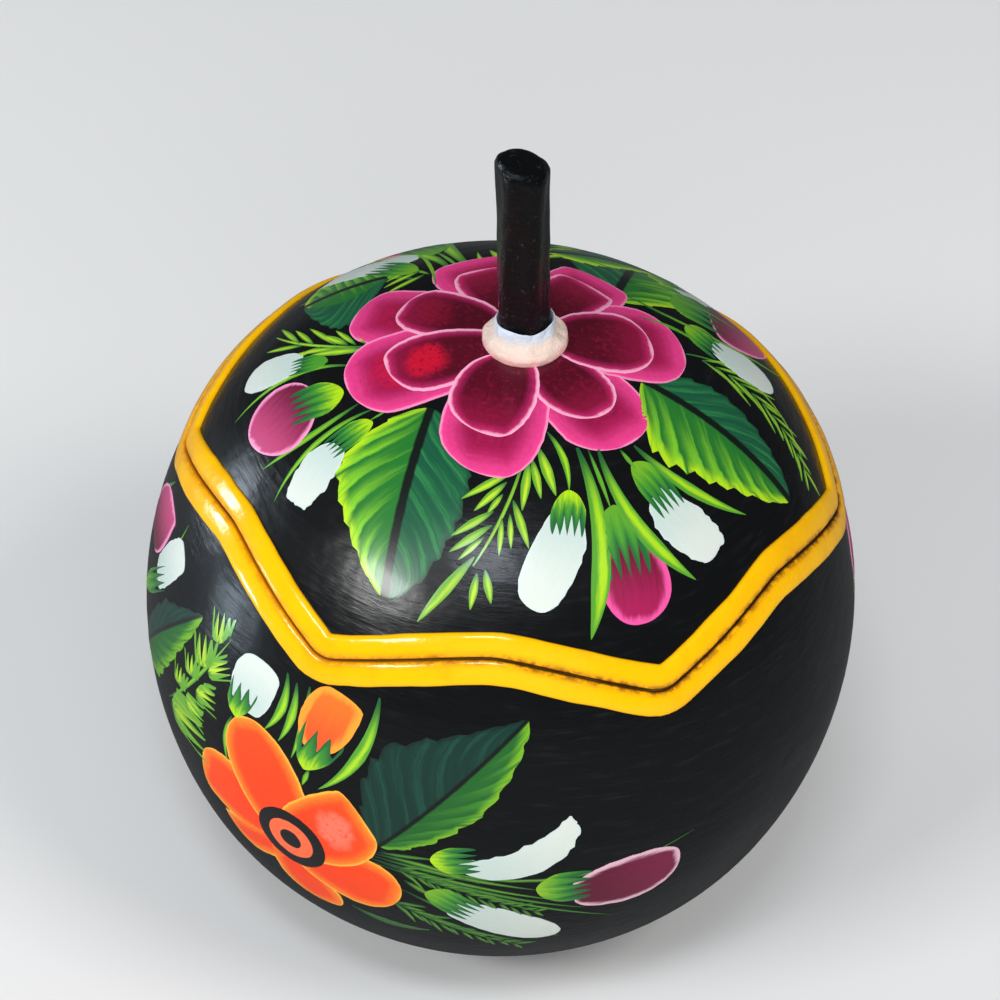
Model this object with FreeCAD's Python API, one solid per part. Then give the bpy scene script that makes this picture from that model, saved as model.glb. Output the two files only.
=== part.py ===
import FreeCAD, Part

import math
import os

# A lacquered gourd box. The crown of a round gourd is sawn off along a six-sided scalloped seam and
# becomes the lid. A raised rounded band runs round both lips, and the dried vine stem is the handle.
# Z is the gourd's own axis, the origin is on the table under it, and -Y is the front.

# The gourd's outline above and below its widest ring is three tangent arcs: one about the axis at
# the crown or the foot, a tighter shoulder, and a belly arc. Each angle is how far an arc turns.
GOURD_RADIUS = 75.0
CROWN_HEIGHT = 71.0
CROWN_SHOULDER_RADIUS = 62.0
BELLY_DEPTH = 75.0
BELLY_SHOULDER_RADIUS = 64.0
AXIS_ARC_ANGLE = math.radians(22.0)
SHOULDER_ARC_ANGLE = math.radians(46.0)
FOOT_RADIUS = 24.0
WALL = 4.0

# The scar that the blossom leaves in the middle of the foot
SCAR_RADIUS = 7.0
SCAR_DEPTH = 1.4

# The seam has six equal sides. The angles are measured from the crown down to the upper edge of the
# lid's band: at the middle of a side, and the further drop from there to a corner.
SIDES = 6
SIDE_MIDDLE_ANGLE = math.radians(51.0)
CORNER_DROP_ANGLE = math.radians(7.2)
SIDE_BOW_POWER = 1.6
SIDE_STATION_SHARES = (-1.0, -0.62, -0.28, 0.0, 0.28, 0.62, 1.0)
SHARP_CORNER_RADIUS = 1.2
SEAM_CLEARANCE = 0.3

# The raised bands, one on each lip. The shares give the round of their edges, in from the edge and up.
BAND_WIDTH = 5.3
BAND_HEIGHT = 1.0
BAND_EDGE_WIDTH = 1.3
BAND_EDGE_SHARES = ((0.0, 0.25), (0.27, 0.7), (1.0, 1.1))

# The stem leans a little. It is faceted, with five worn ridges, and domed on top. The shares go up
# its length, and give its girth, its sway to the side, its ridges and its end's slant.
STEM_DIAMETER = 11.5
STEM_LENGTH = 45.4
STEM_LEAN = math.radians(4.0)
STEM_RIDGES = 5
STEM_TWIST = math.radians(28.0)
STEM_RIDGE_DEPTH = 0.7
STEM_SLANT = math.radians(14.0)
STEM_STATION_SHARES = (0.06, 0.2, 0.4, 0.6, 0.8, 0.93, 0.98, 1.0)
STEM_GIRTH_SHARES = (0.98, 0.97, 0.96, 0.96, 0.97, 1.0, 0.86, 0.52)
STEM_SWAY_SHARES = (0.0, -0.04, -0.05, -0.05, -0.04, -0.05, -0.05, -0.05)
STEM_RIDGE_SHARES = (0.1, 0.8, 1.0, 1.0, 1.0, 0.8, 0.4, 0.2)
STEM_SLANT_SHARES = (0.0, 0.0, 0.0, 0.0, 0.1, 0.5, 1.0, 1.0)
TENON_DIAMETER = 7.0
GLUE_LINE = 0.05

# The built-up ring of paste round the foot of the stem
COLLAR_WIDTH = 2.9
COLLAR_RIM_HEIGHT = 1.9
COLLAR_RIM_ROUND = 1.1
COLLAR_FLARE_HEIGHT = 4.2
COLLAR_FLARE_WIDTH = 1.2
COLLAR_LIP_WIDTH = 0.4

# How far a cutting solid runs past what it cuts, and how many facets each ridge of the stem has
OVERRUN = 5.0
RIDGE_FACETS = 4

Vector = FreeCAD.Vector
ORIGIN = Vector(0, 0, 0)
UP = Vector(0, 0, 1)
HALF_SIDE_ANGLE = math.pi / SIDES
SEAM_OFFSET = SHARP_CORNER_RADIUS + BAND_WIDTH


def arc_chain(height: float, shoulder_radius: float) -> list[tuple[float, float, float, float]]:
    """Three tangent arcs from the axis to the widest ring: centre out and up, radius, last turn."""
    first_turn = AXIS_ARC_ANGLE
    second_turn = AXIS_ARC_ANGLE + SHOULDER_ARC_ANGLE
    out_one, up_one = math.sin(first_turn), math.cos(first_turn)
    out_two, up_two = math.sin(second_turn), math.cos(second_turn)
    out_left = GOURD_RADIUS - shoulder_radius * (out_two - out_one)
    up_left = height - shoulder_radius * (up_one - up_two)
    scale = out_one * up_two - (1 - out_two) * (1 - up_one)
    axis_radius = (out_left * up_two - (1 - out_two) * up_left) / scale
    belly_radius = (out_one * up_left - (1 - up_one) * out_left) / scale
    shoulder_out = (axis_radius - shoulder_radius) * out_one
    shoulder_up = height - axis_radius + (axis_radius - shoulder_radius) * up_one
    return [
        (0.0, height - axis_radius, axis_radius, first_turn),
        (shoulder_out, shoulder_up, shoulder_radius, second_turn),
        (GOURD_RADIUS - belly_radius, 0.0, belly_radius, math.pi / 2),
    ]


CROWN_ARCS = arc_chain(CROWN_HEIGHT, CROWN_SHOULDER_RADIUS)
BELLY_ARCS = arc_chain(BELLY_DEPTH, BELLY_SHOULDER_RADIUS)
FOOT_DEPTH = BELLY_ARCS[0][1] + math.sqrt(BELLY_ARCS[0][2] ** 2 - FOOT_RADIUS ** 2)


def gourd_reach(angle: float, growth: float) -> float:
    """Distance from the gourd's centre to its skin, grown by a height, at an angle from the crown."""
    above = angle <= math.pi / 2
    out = math.sin(angle)
    up = abs(math.cos(angle))
    reach = 0.0
    for centre_out, centre_up, radius, last_turn in CROWN_ARCS if above else BELLY_ARCS:
        along = out * centre_out + up * centre_up
        beyond = (radius + growth) ** 2 - centre_out ** 2 - centre_up ** 2
        reach = along + math.sqrt(beyond + along ** 2)
        if math.atan2(reach * out - centre_out, reach * up - centre_up) <= last_turn:
            break
    return reach


def skin_point(angle: float, azimuth: float, growth: float) -> Vector:
    """A point of the grown skin, by its angle from the crown and its azimuth from the back."""
    reach = gourd_reach(angle, growth)
    out = reach * math.sin(angle)
    return Vector(out * math.sin(azimuth), out * math.cos(azimuth), reach * math.cos(angle))


def profile_arc(centre_out: float, centre_up: float, radius: float, turns: tuple, sign: int) -> list[Vector]:
    """First, middle and last point of one arc of the outline, above or below the widest ring."""
    first, last = turns
    return [
        Vector(0, centre_out + radius * math.sin(turn), sign * (centre_up + radius * math.cos(turn)))
        for turn in (first, (first + last) / 2, last)
    ]


def gourd_form(growth: float, depth: float) -> Part.Shape:
    """The full gourd, grown by a height, cut flat at a depth below its widest ring."""
    arcs = []
    first_turn = 0.0
    for centre_out, centre_up, radius, last_turn in CROWN_ARCS:
        arcs.append(profile_arc(centre_out, centre_up, radius + growth, (first_turn, last_turn), 1))
        first_turn = last_turn
    for index in reversed(range(len(BELLY_ARCS))):
        centre_out, centre_up, radius, first_turn = BELLY_ARCS[index]
        if index > 0:
            last_turn = BELLY_ARCS[index - 1][3]
        else:
            last_turn = math.acos((depth - centre_up) / (radius + growth))
        arcs.append(profile_arc(centre_out, centre_up, radius + growth, (first_turn, last_turn), -1))
    foot_edge = arcs[-1][2]
    foot_middle = Vector(0, 0, foot_edge.z)
    edges = [Part.Arc(*points).toShape() for points in arcs]
    edges.append(Part.makeLine(foot_edge, foot_middle))
    edges.append(Part.makeLine(foot_middle, arcs[0][0]))
    return Part.Face(Part.Wire(edges)).revolve(ORIGIN, UP, 360)


def seam_angle(share: float) -> float:
    """Angle from the crown at a share of the way from the middle of a side to its corner."""
    return SIDE_MIDDLE_ANGLE + CORNER_DROP_ANGLE * abs(share) ** SIDE_BOW_POWER


def seam_turn(share: float) -> float:
    """How far the seam line turns downhill at a share of the way to the corner."""
    slope = CORNER_DROP_ANGLE * SIDE_BOW_POWER * abs(share) ** (SIDE_BOW_POWER - 1)
    return math.atan2(math.copysign(slope, share), math.sin(seam_angle(share)) * HALF_SIDE_ANGLE)


def beside(angle: float, azimuth: float, turn: float, offset: float, growth: float) -> Vector:
    """The point of the grown skin that lies an offset away, square to the turned line."""
    reach = gourd_reach(angle, 0)
    new_angle = angle + offset * math.cos(turn) / reach
    new_azimuth = azimuth - offset * math.sin(turn) / (reach * math.sin(angle))
    return skin_point(new_angle, new_azimuth, growth)


def scallop(offset: float, growth: float) -> Part.Wire:
    """The closed six-sided line on the grown skin, an offset below the upper edge of the lid's band."""
    edges = []
    for side in range(SIDES):
        middle = 2 * HALF_SIDE_ANGLE * side
        points = [
            beside(seam_angle(share), middle + HALF_SIDE_ANGLE * share, seam_turn(share), offset, growth)
            for share in SIDE_STATION_SHARES
        ]
        line = Part.BSplineCurve()
        line.interpolate(Points=points)
        edges.append(line.toShape())
        corner = [
            beside(seam_angle(1), middle + HALF_SIDE_ANGLE, turn, offset, growth)
            for turn in (seam_turn(1), 0, -seam_turn(1))
        ]
        edges.append(Part.Arc(*corner).toShape())
    return Part.Wire(edges)


def crown_cone(rings: list[tuple[float, float]]) -> Part.Shape:
    """All above a scallop, cut toward the gourd's centre, with its side led through (offset, growth) rings."""
    wires = [scallop(offset, growth) for offset, growth in rings]
    far_above = Vector(0, 0, 4 * GOURD_RADIUS)
    return Part.makeLoft([Part.Vertex(ORIGIN), *wires, Part.Vertex(far_above)], True, True)


def straight_cone(offset: float) -> Part.Shape:
    """A cone that cuts square through the wall and past the bands."""
    return crown_cone([(offset, BAND_HEIGHT + 3 * WALL)])


def rounded_cone(offset: float, inward: int) -> Part.Shape:
    """A cone whose side rounds over the edge of a band. Inward is 1 for an upper edge, -1 for a lower."""
    return crown_cone([
        (offset + inward * BAND_EDGE_WIDTH * across, BAND_HEIGHT * height)
        for across, height in BAND_EDGE_SHARES
    ])


def make_stem() -> Part.Shape:
    """The ridged stem, upright on the origin, with its round foot and its tenon below."""
    wires = []
    stations = zip(STEM_STATION_SHARES, STEM_GIRTH_SHARES, STEM_SWAY_SHARES,
                   STEM_RIDGE_SHARES, STEM_SLANT_SHARES)
    for station, girth, sway, ridged, slanted in stations:
        points = []
        for step in range(STEM_RIDGES * RIDGE_FACETS):
            azimuth = 2 * math.pi * step / (STEM_RIDGES * RIDGE_FACETS)
            ridge = math.cos(STEM_RIDGES * (azimuth - STEM_TWIST * station))
            radius = STEM_DIAMETER / 2 * girth + STEM_RIDGE_DEPTH * ridged * (ridge - 1) / 2
            across = radius * math.cos(azimuth)
            height = STEM_LENGTH * station - across * math.tan(STEM_SLANT) * slanted
            points.append(Vector(across + STEM_DIAMETER * sway, radius * math.sin(azimuth), height))
        wires.append(Part.makePolygon([*points, points[0]]))
    shaft = Part.makeLoft(wires, True, True)
    foot_top = STEM_LENGTH * STEM_STATION_SHARES[0]
    foot = Part.makeCylinder(STEM_DIAMETER / 2, foot_top + OVERRUN, Vector(0, 0, -OVERRUN))
    return shaft.fuse(foot)


def make_collar() -> Part.Shape:
    """The ring of paste: a rounded rim, and a flare that runs up the stem's foot."""
    bore = STEM_DIAMETER / 2 + GLUE_LINE
    outer = bore + COLLAR_WIDTH
    rim_inner = outer - COLLAR_RIM_ROUND
    rim_low = COLLAR_RIM_HEIGHT - COLLAR_RIM_ROUND
    round_share = math.sqrt(0.5)
    flare_foot = bore + COLLAR_LIP_WIDTH + COLLAR_FLARE_WIDTH
    corners = [
        Vector(rim_inner, 0, COLLAR_RIM_HEIGHT),
        Vector(flare_foot, 0, COLLAR_RIM_HEIGHT),
        Vector(bore + COLLAR_LIP_WIDTH, 0, COLLAR_FLARE_HEIGHT),
        Vector(bore, 0, COLLAR_FLARE_HEIGHT),
        Vector(bore, 0, -OVERRUN),
        Vector(outer, 0, -OVERRUN),
        Vector(outer, 0, rim_low),
    ]
    edges = [Part.makeLine(start, end) for start, end in zip(corners, corners[1:])]
    middle = Vector(rim_inner + COLLAR_RIM_ROUND * round_share, 0, rim_low + COLLAR_RIM_ROUND * round_share)
    edges.append(Part.Arc(corners[-1], middle, corners[0]).toShape())
    return Part.Face(Part.Wire(edges)).revolve(ORIGIN, UP, 360)


def lean_onto_crown(shape: Part.Shape) -> Part.Shape:
    """A shape stood on the crown, leaning as the stem does."""
    leaning = shape.copy()
    leaning.rotate(ORIGIN, Vector(0, 1, 0), -math.degrees(STEM_LEAN))
    leaning.translate(Vector(0, 0, CROWN_HEIGHT))
    return leaning


def main() -> None:
    """Make each piece, stand the gourd on its foot and write one file for each piece."""
    outside = gourd_form(0, FOOT_DEPTH)
    inside = gourd_form(-WALL, FOOT_DEPTH - WALL)
    raised = gourd_form(BAND_HEIGHT, FOOT_DEPTH)
    shell = outside.cut(inside)
    lid_edge = SEAM_OFFSET - SEAM_CLEARANCE / 2
    bowl_edge = SEAM_OFFSET + SEAM_CLEARANCE / 2

    hole = Part.makeCylinder(TENON_DIAMETER / 2 + GLUE_LINE, 2 * WALL + OVERRUN, Vector(0, 0, -2 * WALL))
    lid_shell = shell.common(straight_cone(lid_edge)).cut(lean_onto_crown(hole))
    lid_rim_band = raised.common(rounded_cone(lid_edge, -1))
    lid_rim_band = lid_rim_band.cut(rounded_cone(SHARP_CORNER_RADIUS, 1)).cut(outside)

    scar_sphere_radius = (SCAR_RADIUS ** 2 + SCAR_DEPTH ** 2) / (2 * SCAR_DEPTH)
    scar = Part.makeSphere(scar_sphere_radius, Vector(0, 0, SCAR_DEPTH - FOOT_DEPTH - scar_sphere_radius))
    bowl_shell = shell.cut(straight_cone(bowl_edge)).cut(scar)
    bowl_rim_band = raised.common(rounded_cone(SEAM_OFFSET + BAND_WIDTH, -1))
    bowl_rim_band = bowl_rim_band.cut(rounded_cone(bowl_edge, 1)).cut(outside)

    tenon = Part.makeCylinder(TENON_DIAMETER / 2, 2 * WALL + OVERRUN, Vector(0, 0, -2 * WALL))
    stem = lean_onto_crown(make_stem()).cut(outside)
    stem = stem.fuse(lean_onto_crown(tenon).cut(inside))
    stem_collar = lean_onto_crown(make_collar()).cut(outside)

    pieces = {
        "bowl_shell": bowl_shell,
        "bowl_rim_band": bowl_rim_band,
        "lid_shell": lid_shell,
        "lid_rim_band": lid_rim_band,
        "stem": stem,
        "stem_collar": stem_collar,
    }
    os.makedirs("parts", exist_ok=True)
    for name, shape in pieces.items():
        shape.translate(Vector(0, 0, FOOT_DEPTH))
        shape.exportStep("parts/" + name + ".step")
        print(name, "valid", shape.isValid(), "solids", len(shape.Solids), "volume", round(shape.Volume))


main()
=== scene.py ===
"""The looks of a painted and lacquered gourd box: its lacquer, rim bands, stem, collar and flowers."""

import logging
import math
from dataclasses import dataclass, field, replace
from enum import Enum

import bpy
import numpy as np
from mathutils import Matrix, Vector, noise

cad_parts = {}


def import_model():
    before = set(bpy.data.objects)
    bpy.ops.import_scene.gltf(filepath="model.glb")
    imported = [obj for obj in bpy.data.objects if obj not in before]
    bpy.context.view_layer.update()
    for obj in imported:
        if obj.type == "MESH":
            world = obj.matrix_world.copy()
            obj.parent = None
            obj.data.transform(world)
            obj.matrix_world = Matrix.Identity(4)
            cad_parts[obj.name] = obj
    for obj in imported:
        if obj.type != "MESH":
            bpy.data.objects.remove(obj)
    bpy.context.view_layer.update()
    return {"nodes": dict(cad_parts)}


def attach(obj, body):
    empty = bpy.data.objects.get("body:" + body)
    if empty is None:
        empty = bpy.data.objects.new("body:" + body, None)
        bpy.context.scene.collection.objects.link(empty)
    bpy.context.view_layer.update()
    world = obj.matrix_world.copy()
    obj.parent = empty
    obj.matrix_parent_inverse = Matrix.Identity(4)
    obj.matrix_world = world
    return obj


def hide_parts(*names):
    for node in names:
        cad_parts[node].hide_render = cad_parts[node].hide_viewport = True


MM = 0.001
Pixel = tuple[float, float]
Shade = tuple[float, float, float]
Points = np.ndarray
Socket = bpy.types.NodeSocket

logging.basicConfig(level=logging.INFO, format="%(message)s")
LOG = logging.getLogger("gourd")


class Body(Enum):
    """The two parts of the box that move apart."""

    BOWL = "bowl"
    LID = "lid"


class Slot(Enum):
    """The record's material slots."""

    BOWL = "bowl_lacquer"
    LID = "lid_lacquer"
    BAND = "rim_band_paint"
    STEM = "stem_lacquer"
    COLLAR = "collar_paste"


def linear(shade: Shade) -> tuple[float, float, float, float]:
    """Turn a colour written in steps of 0 to 255 into the shader's linear values.

    Args:
        shade: Red, green and blue, each from 0 to 255.

    Returns:
        Red, green, blue and a full alpha.
    """
    values = []
    for step in shade:
        share = step / 255
        values.append(share / 12.92 if share <= 0.04045 else ((share + 0.055) / 1.055) ** 2.4)
    return (*values, 1.0)


@dataclass
class GourdSkin:
    """The outside of the gourd: three tangent arcs above its widest ring and three below it.

    Lengths are in metres. The centre is where the axis meets the widest ring.
    """

    radius: float = 75 * MM
    crown_height: float = 71 * MM
    crown_shoulder: float = 62 * MM
    belly_depth: float = 75 * MM
    belly_shoulder: float = 64 * MM
    foot_radius: float = 24 * MM
    axis_arc: float = math.radians(22)
    shoulder_arc: float = math.radians(46)
    turn_slack: float = 1e-6
    halvings: int = 48
    crown: list = field(init=False)
    belly: list = field(init=False)
    centre: Points = field(init=False)

    def __post_init__(self) -> None:
        """Work out the arcs and the height of the widest ring above the floor."""
        self.crown = self.arc_chain(self.crown_height, self.crown_shoulder)
        self.belly = self.arc_chain(self.belly_depth, self.belly_shoulder)
        bottom_up, bottom_radius = self.belly[0][1:3]
        foot_depth = bottom_up + math.sqrt(bottom_radius ** 2 - self.foot_radius ** 2)
        self.centre = np.array((0.0, 0.0, foot_depth))

    def arc_chain(self, height: float, shoulder_radius: float) -> list[tuple]:
        """Find three tangent arcs from the axis to the widest ring.

        Args:
            height: How far the arcs rise above the widest ring.
            shoulder_radius: The radius of the middle arc.

        Returns:
            For each arc, how far out and up its centre is, its radius and the turn where it ends.
        """
        second_turn = self.axis_arc + self.shoulder_arc
        out_one, up_one = math.sin(self.axis_arc), math.cos(self.axis_arc)
        out_two, up_two = math.sin(second_turn), math.cos(second_turn)
        out_left = self.radius - shoulder_radius * (out_two - out_one)
        up_left = height - shoulder_radius * (up_one - up_two)
        scale = out_one * up_two - (1 - out_two) * (1 - up_one)
        axis_radius = (out_left * up_two - (1 - out_two) * up_left) / scale
        belly_radius = (out_one * up_left - (1 - up_one) * out_left) / scale
        shoulder_out = (axis_radius - shoulder_radius) * out_one
        shoulder_up = height - axis_radius + (axis_radius - shoulder_radius) * up_one
        return [
            (0.0, height - axis_radius, axis_radius, self.axis_arc),
            (shoulder_out, shoulder_up, shoulder_radius, second_turn),
            (self.radius - belly_radius, 0.0, belly_radius, math.pi / 2),
        ]

    def reach(self, angle: Points, growth: Points | float) -> Points:
        """Measure from the centre to the skin.

        Args:
            angle: Angles down from the crown.
            growth: How far the skin is grown outwards.

        Returns:
            The distance to the grown skin at each angle.
        """
        out, up = np.sin(angle), np.abs(np.cos(angle))
        found = np.full(out.shape, np.nan)
        for above, arcs in ((True, self.crown), (False, self.belly)):
            half = (angle <= math.pi / 2) == above
            for centre_out, centre_up, radius, last_turn in arcs:
                along = out * centre_out + up * centre_up
                beyond = (radius + growth) ** 2 - centre_out ** 2 - centre_up ** 2
                reach = along + np.sqrt(np.maximum(beyond + along ** 2, 0))
                turn = np.arctan2(reach * out - centre_out, reach * up - centre_up)
                fits = half & np.isnan(found) & (turn <= last_turn + self.turn_slack)
                found = np.where(fits, reach, found)
        return found

    def settle(self, points: Points, growth: Points | float = 0.0) -> Points:
        """Move points toward or away from the centre until they lie on the skin.

        Args:
            points: Rows of x, y and z.
            growth: Their height above the skin.

        Returns:
            The moved points.
        """
        rays = np.atleast_2d(points) - self.centre
        lengths = np.linalg.norm(rays, axis=1)
        angle = np.arccos(np.clip(rays[:, 2] / lengths, -1, 1))
        return self.centre + rays * (self.reach(angle, growth) / lengths)[:, None]

    def meet(self, start: Points, along: Points) -> Points:
        """Find where a line of sight first meets the skin.

        Args:
            start: Where the line starts.
            along: Its direction, of length one.

        Returns:
            The point, or the nearest one to the line where it misses.
        """
        far = float((self.centre - start) @ along)
        if self.is_outside(start + along * far):
            return self.settle(start + along * far)[0]
        near = far - 2 * self.radius
        for _ in range(self.halvings):
            middle = (near + far) / 2
            if self.is_outside(start + along * middle):
                near = middle
            else:
                far = middle
        return start + along * near

    def is_outside(self, point: Points) -> bool:
        """Tell whether a point lies outside the skin."""
        surface = self.settle(point)[0]
        return bool(np.linalg.norm(point - self.centre) > np.linalg.norm(surface - self.centre))

    def outward(self, point: Points) -> Points:
        """Give the direction from the centre to a point."""
        ray = point - self.centre
        return ray / np.linalg.norm(ray)

    def spot(self, angle: float, azimuth: float, growth: float = 0.0) -> Points:
        """Find a point of the skin.

        Args:
            angle: Its angle down from the crown.
            azimuth: Its turn from the back.
            growth: Its height above the skin.

        Returns:
            The point.
        """
        reach = float(self.reach(np.array([angle]), growth)[0])
        out, up = reach * math.sin(angle), reach * math.cos(angle)
        return self.centre + np.array((out * math.sin(azimuth), out * math.cos(azimuth), up))


@dataclass(frozen=True)
class Viewpoint:
    """The camera, with the picture it takes measured in pixels from the top left."""

    distance: float = 0.9
    elevation: float = math.radians(44)
    lens: float = 152.4
    sensor: float = 36.0
    roll: float = math.radians(5.5)
    landing: Pixel = (500.5, 592.0)
    picture: float = 1000.0

    def focal(self) -> float:
        """Give the focal length in pixels."""
        return self.lens / self.sensor * self.picture

    def start(self, skin: GourdSkin) -> Points:
        """Give the camera's place."""
        back = np.array((0.0, -math.cos(self.elevation), math.sin(self.elevation)))
        return skin.centre + self.distance * back

    def turn(self, skin: GourdSkin) -> Points:
        """Work out how the camera is turned.

        Args:
            skin: The gourd, whose centre lands on a known pixel.

        Returns:
            The matrix from the camera's directions to the world's.
        """
        half = self.picture / 2
        seen = np.array((self.landing[0] - half, half - self.landing[1], -self.focal()))
        seen_up = np.array((math.sin(self.roll), math.cos(self.roll), 0.0))
        real = skin.centre - self.start(skin)
        return self.triad(real, np.array((0.0, 0.0, 1.0))) @ self.triad(seen, seen_up).T

    @staticmethod
    def triad(ahead: Points, up: Points) -> Points:
        """Work out three square directions.

        Args:
            ahead: The first direction.
            up: Roughly the third.

        Returns:
            The three as columns.
        """
        first = ahead / np.linalg.norm(ahead)
        side = np.cross(first, up)
        side /= np.linalg.norm(side)
        return np.stack((first, side, np.cross(side, first)), axis=1)

    def look(self, pixel: Pixel, skin: GourdSkin) -> Points:
        """Find the point of the gourd that a pixel shows.

        Args:
            pixel: The pixel.
            skin: The gourd.

        Returns:
            The point.
        """
        half = self.picture / 2
        seen = np.array((pixel[0] - half, half - pixel[1], -self.focal()))
        along = self.turn(skin) @ seen
        return skin.meet(self.start(skin), along / np.linalg.norm(along))

    def place(self, skin: GourdSkin) -> None:
        """Put the camera in the scene.

        Args:
            skin: The gourd that it looks at.
        """
        data = bpy.data.cameras.new("camera")
        data.lens = self.lens
        data.sensor_width = self.sensor
        data.sensor_fit = "HORIZONTAL"
        camera = bpy.data.objects.new("camera", data)
        bpy.context.scene.collection.objects.link(camera)
        turn = Matrix(self.turn(skin).tolist()).to_4x4()
        camera.matrix_world = Matrix.Translation(Vector(self.start(skin))) @ turn
        bpy.context.scene.camera = camera


class Bench:
    """The node tree of one finish, built up socket by socket.

    A grain's size is in cycles to a metre. The stride is how far apart two tints read a noise.
    """

    tint_stride = 37.0

    def __init__(self, name: str, roughness: float, coat: float = 0.0,
                 coat_roughness: float = 0.1) -> None:
        """Start a material.

        Args:
            name: The material's name.
            roughness: The shader's own roughness.
            coat: The weight of a clear coat.
            coat_roughness: The roughness of that coat.
        """
        self.material = bpy.data.materials.new(name)
        self.material.use_nodes = True
        self.tree = self.material.node_tree
        self.shader = self.tree.nodes["Principled BSDF"]
        self.shader.inputs["Roughness"].default_value = roughness
        self.shader.inputs["Coat Weight"].default_value = coat
        self.shader.inputs["Coat Roughness"].default_value = coat_roughness

    def node(self, kind: str, **settings: object) -> bpy.types.Node:
        """Add a node and set its properties.

        Args:
            kind: The node's type.
            **settings: Its properties by name.

        Returns:
            The node.
        """
        made = self.tree.nodes.new(kind)
        for name, value in settings.items():
            setattr(made, name, value)
        return made

    def feed(self, socket: Socket, value: object) -> None:
        """Link a socket, or set it to a number or a written colour.

        Args:
            socket: The input to feed.
            value: Another socket, a number or a colour.
        """
        if isinstance(value, Socket):
            self.tree.links.new(value, socket)
        elif socket.type == "RGBA":
            socket.default_value = linear(value)
        else:
            socket.default_value = value

    def attribute(self, name: str) -> Socket:
        """Read a number that the mesh carries."""
        return self.node("ShaderNodeAttribute", attribute_name=name).outputs["Fac"]

    def place(self, scale: tuple = (1.0, 1.0, 1.0), start: tuple = (0.0, 0.0, 0.0)) -> Socket:
        """Read the place on the object.

        Args:
            scale: How far the place is stretched each way.
            start: How far it is moved.

        Returns:
            The place.
        """
        mapping = self.node("ShaderNodeMapping")
        mapping.inputs["Location"].default_value = start
        mapping.inputs["Scale"].default_value = scale
        self.feed(mapping.inputs["Vector"], self.node("ShaderNodeTexCoord").outputs["Object"])
        return mapping.outputs["Vector"]

    def reckon(self, operation: str, *values: object, clamp: bool = False) -> Socket:
        """Work out one step of arithmetic.

        Args:
            operation: What the step does.
            *values: The numbers or sockets that it takes.
            clamp: Whether the result is kept from 0 to 1.

        Returns:
            The result.
        """
        made = self.node("ShaderNodeMath", operation=operation, use_clamp=clamp)
        for socket, value in zip(made.inputs, values):
            self.feed(socket, value)
        return made.outputs[0]

    def plus(self, first: object, second: object) -> Socket:
        """Add two numbers."""
        return self.reckon("ADD", first, second)

    def minus(self, first: object, second: object) -> Socket:
        """Take the second number from the first."""
        return self.reckon("SUBTRACT", first, second)

    def times(self, first: object, second: object) -> Socket:
        """Multiply two numbers."""
        return self.reckon("MULTIPLY", first, second)

    def rise(self, value: object, low: float, high: float, top: float = 1.0) -> Socket:
        """Turn a number smoothly into a share.

        Args:
            value: The number.
            low: Where the share is nothing. It may be over high.
            high: Where the share is full.
            top: The full share.

        Returns:
            The share.
        """
        made = self.node("ShaderNodeMapRange", interpolation_type="SMOOTHSTEP")
        self.feed(made.inputs["Value"], value)
        backward = low > high
        made.inputs["From Min"].default_value = min(low, high)
        made.inputs["From Max"].default_value = max(low, high)
        made.inputs["To Min"].default_value = top if backward else 0.0
        made.inputs["To Max"].default_value = 0.0 if backward else top
        return made.outputs["Result"]

    def mix(self, share: object, first: object, second: object) -> Socket:
        """Blend two colours.

        Args:
            share: How much of the second there is.
            first: The first colour.
            second: The second colour.

        Returns:
            The blend.
        """
        made = self.node("ShaderNodeMix", data_type="RGBA")
        shared, one, other = made.inputs[0], made.inputs[6], made.inputs[7]
        self.feed(shared, share)
        self.feed(one, first)
        self.feed(other, second)
        return made.outputs[2]

    def steps(self, value: object, *stops: tuple[float, Shade]) -> Socket:
        """Turn a number into a colour by way of stops.

        Args:
            value: The number.
            *stops: For each stop, where it is and its colour.

        Returns:
            The colour.
        """
        made = self.node("ShaderNodeValToRGB")
        self.feed(made.inputs[0], value)
        elements = made.color_ramp.elements
        while len(elements) < len(stops):
            elements.new(0.5)
        for element, (position, shade) in zip(elements, stops):
            element.position = position
            element.color = linear(shade)
        return made.outputs[0]

    def grain(self, vector: object, detail: float, rough: float) -> Socket:
        """Add a noise.

        Args:
            vector: The stretched place that it is read at.
            detail: How many finer layers it has.
            rough: How strong those are.

        Returns:
            Its strength, a number about a half.
        """
        made = self.node("ShaderNodeTexNoise")
        self.feed(made.inputs["Vector"], vector)
        made.inputs["Scale"].default_value = 1.0
        made.inputs["Detail"].default_value = detail
        made.inputs["Roughness"].default_value = rough
        return made.outputs["Fac"]

    def patches(self, size: float | tuple, detail: float = 3.0, rough: float = 0.5) -> Socket:
        """Add a noise that is fixed to the object, its size given for all ways or for each."""
        stretch = size if isinstance(size, tuple) else (size, size, size)
        return self.grain(self.place(stretch), detail, rough)

    def triple(self, *values: object) -> Socket:
        """Join numbers into a place.

        Args:
            *values: Its x, y and z.

        Returns:
            The place.
        """
        made = self.node("ShaderNodeCombineXYZ")
        for socket, value in zip(made.inputs, values):
            self.feed(socket, value)
        return made.outputs[0]

    def streaks(self, fineness: float, length: float) -> Socket:
        """Draw the marks of the bristles along a dab.

        Args:
            fineness: How many marks there are to a millimetre across.
            length: How fast they change along the dab, to a millimetre.

        Returns:
            A number about a half.
        """
        along = self.times(self.attribute("along"), length)
        across = self.times(self.attribute("across"), fineness)
        seed = self.times(self.attribute("tint"), self.tint_stride)
        return self.grain(self.triple(along, across, seed), 3.0, 0.6)

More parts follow.
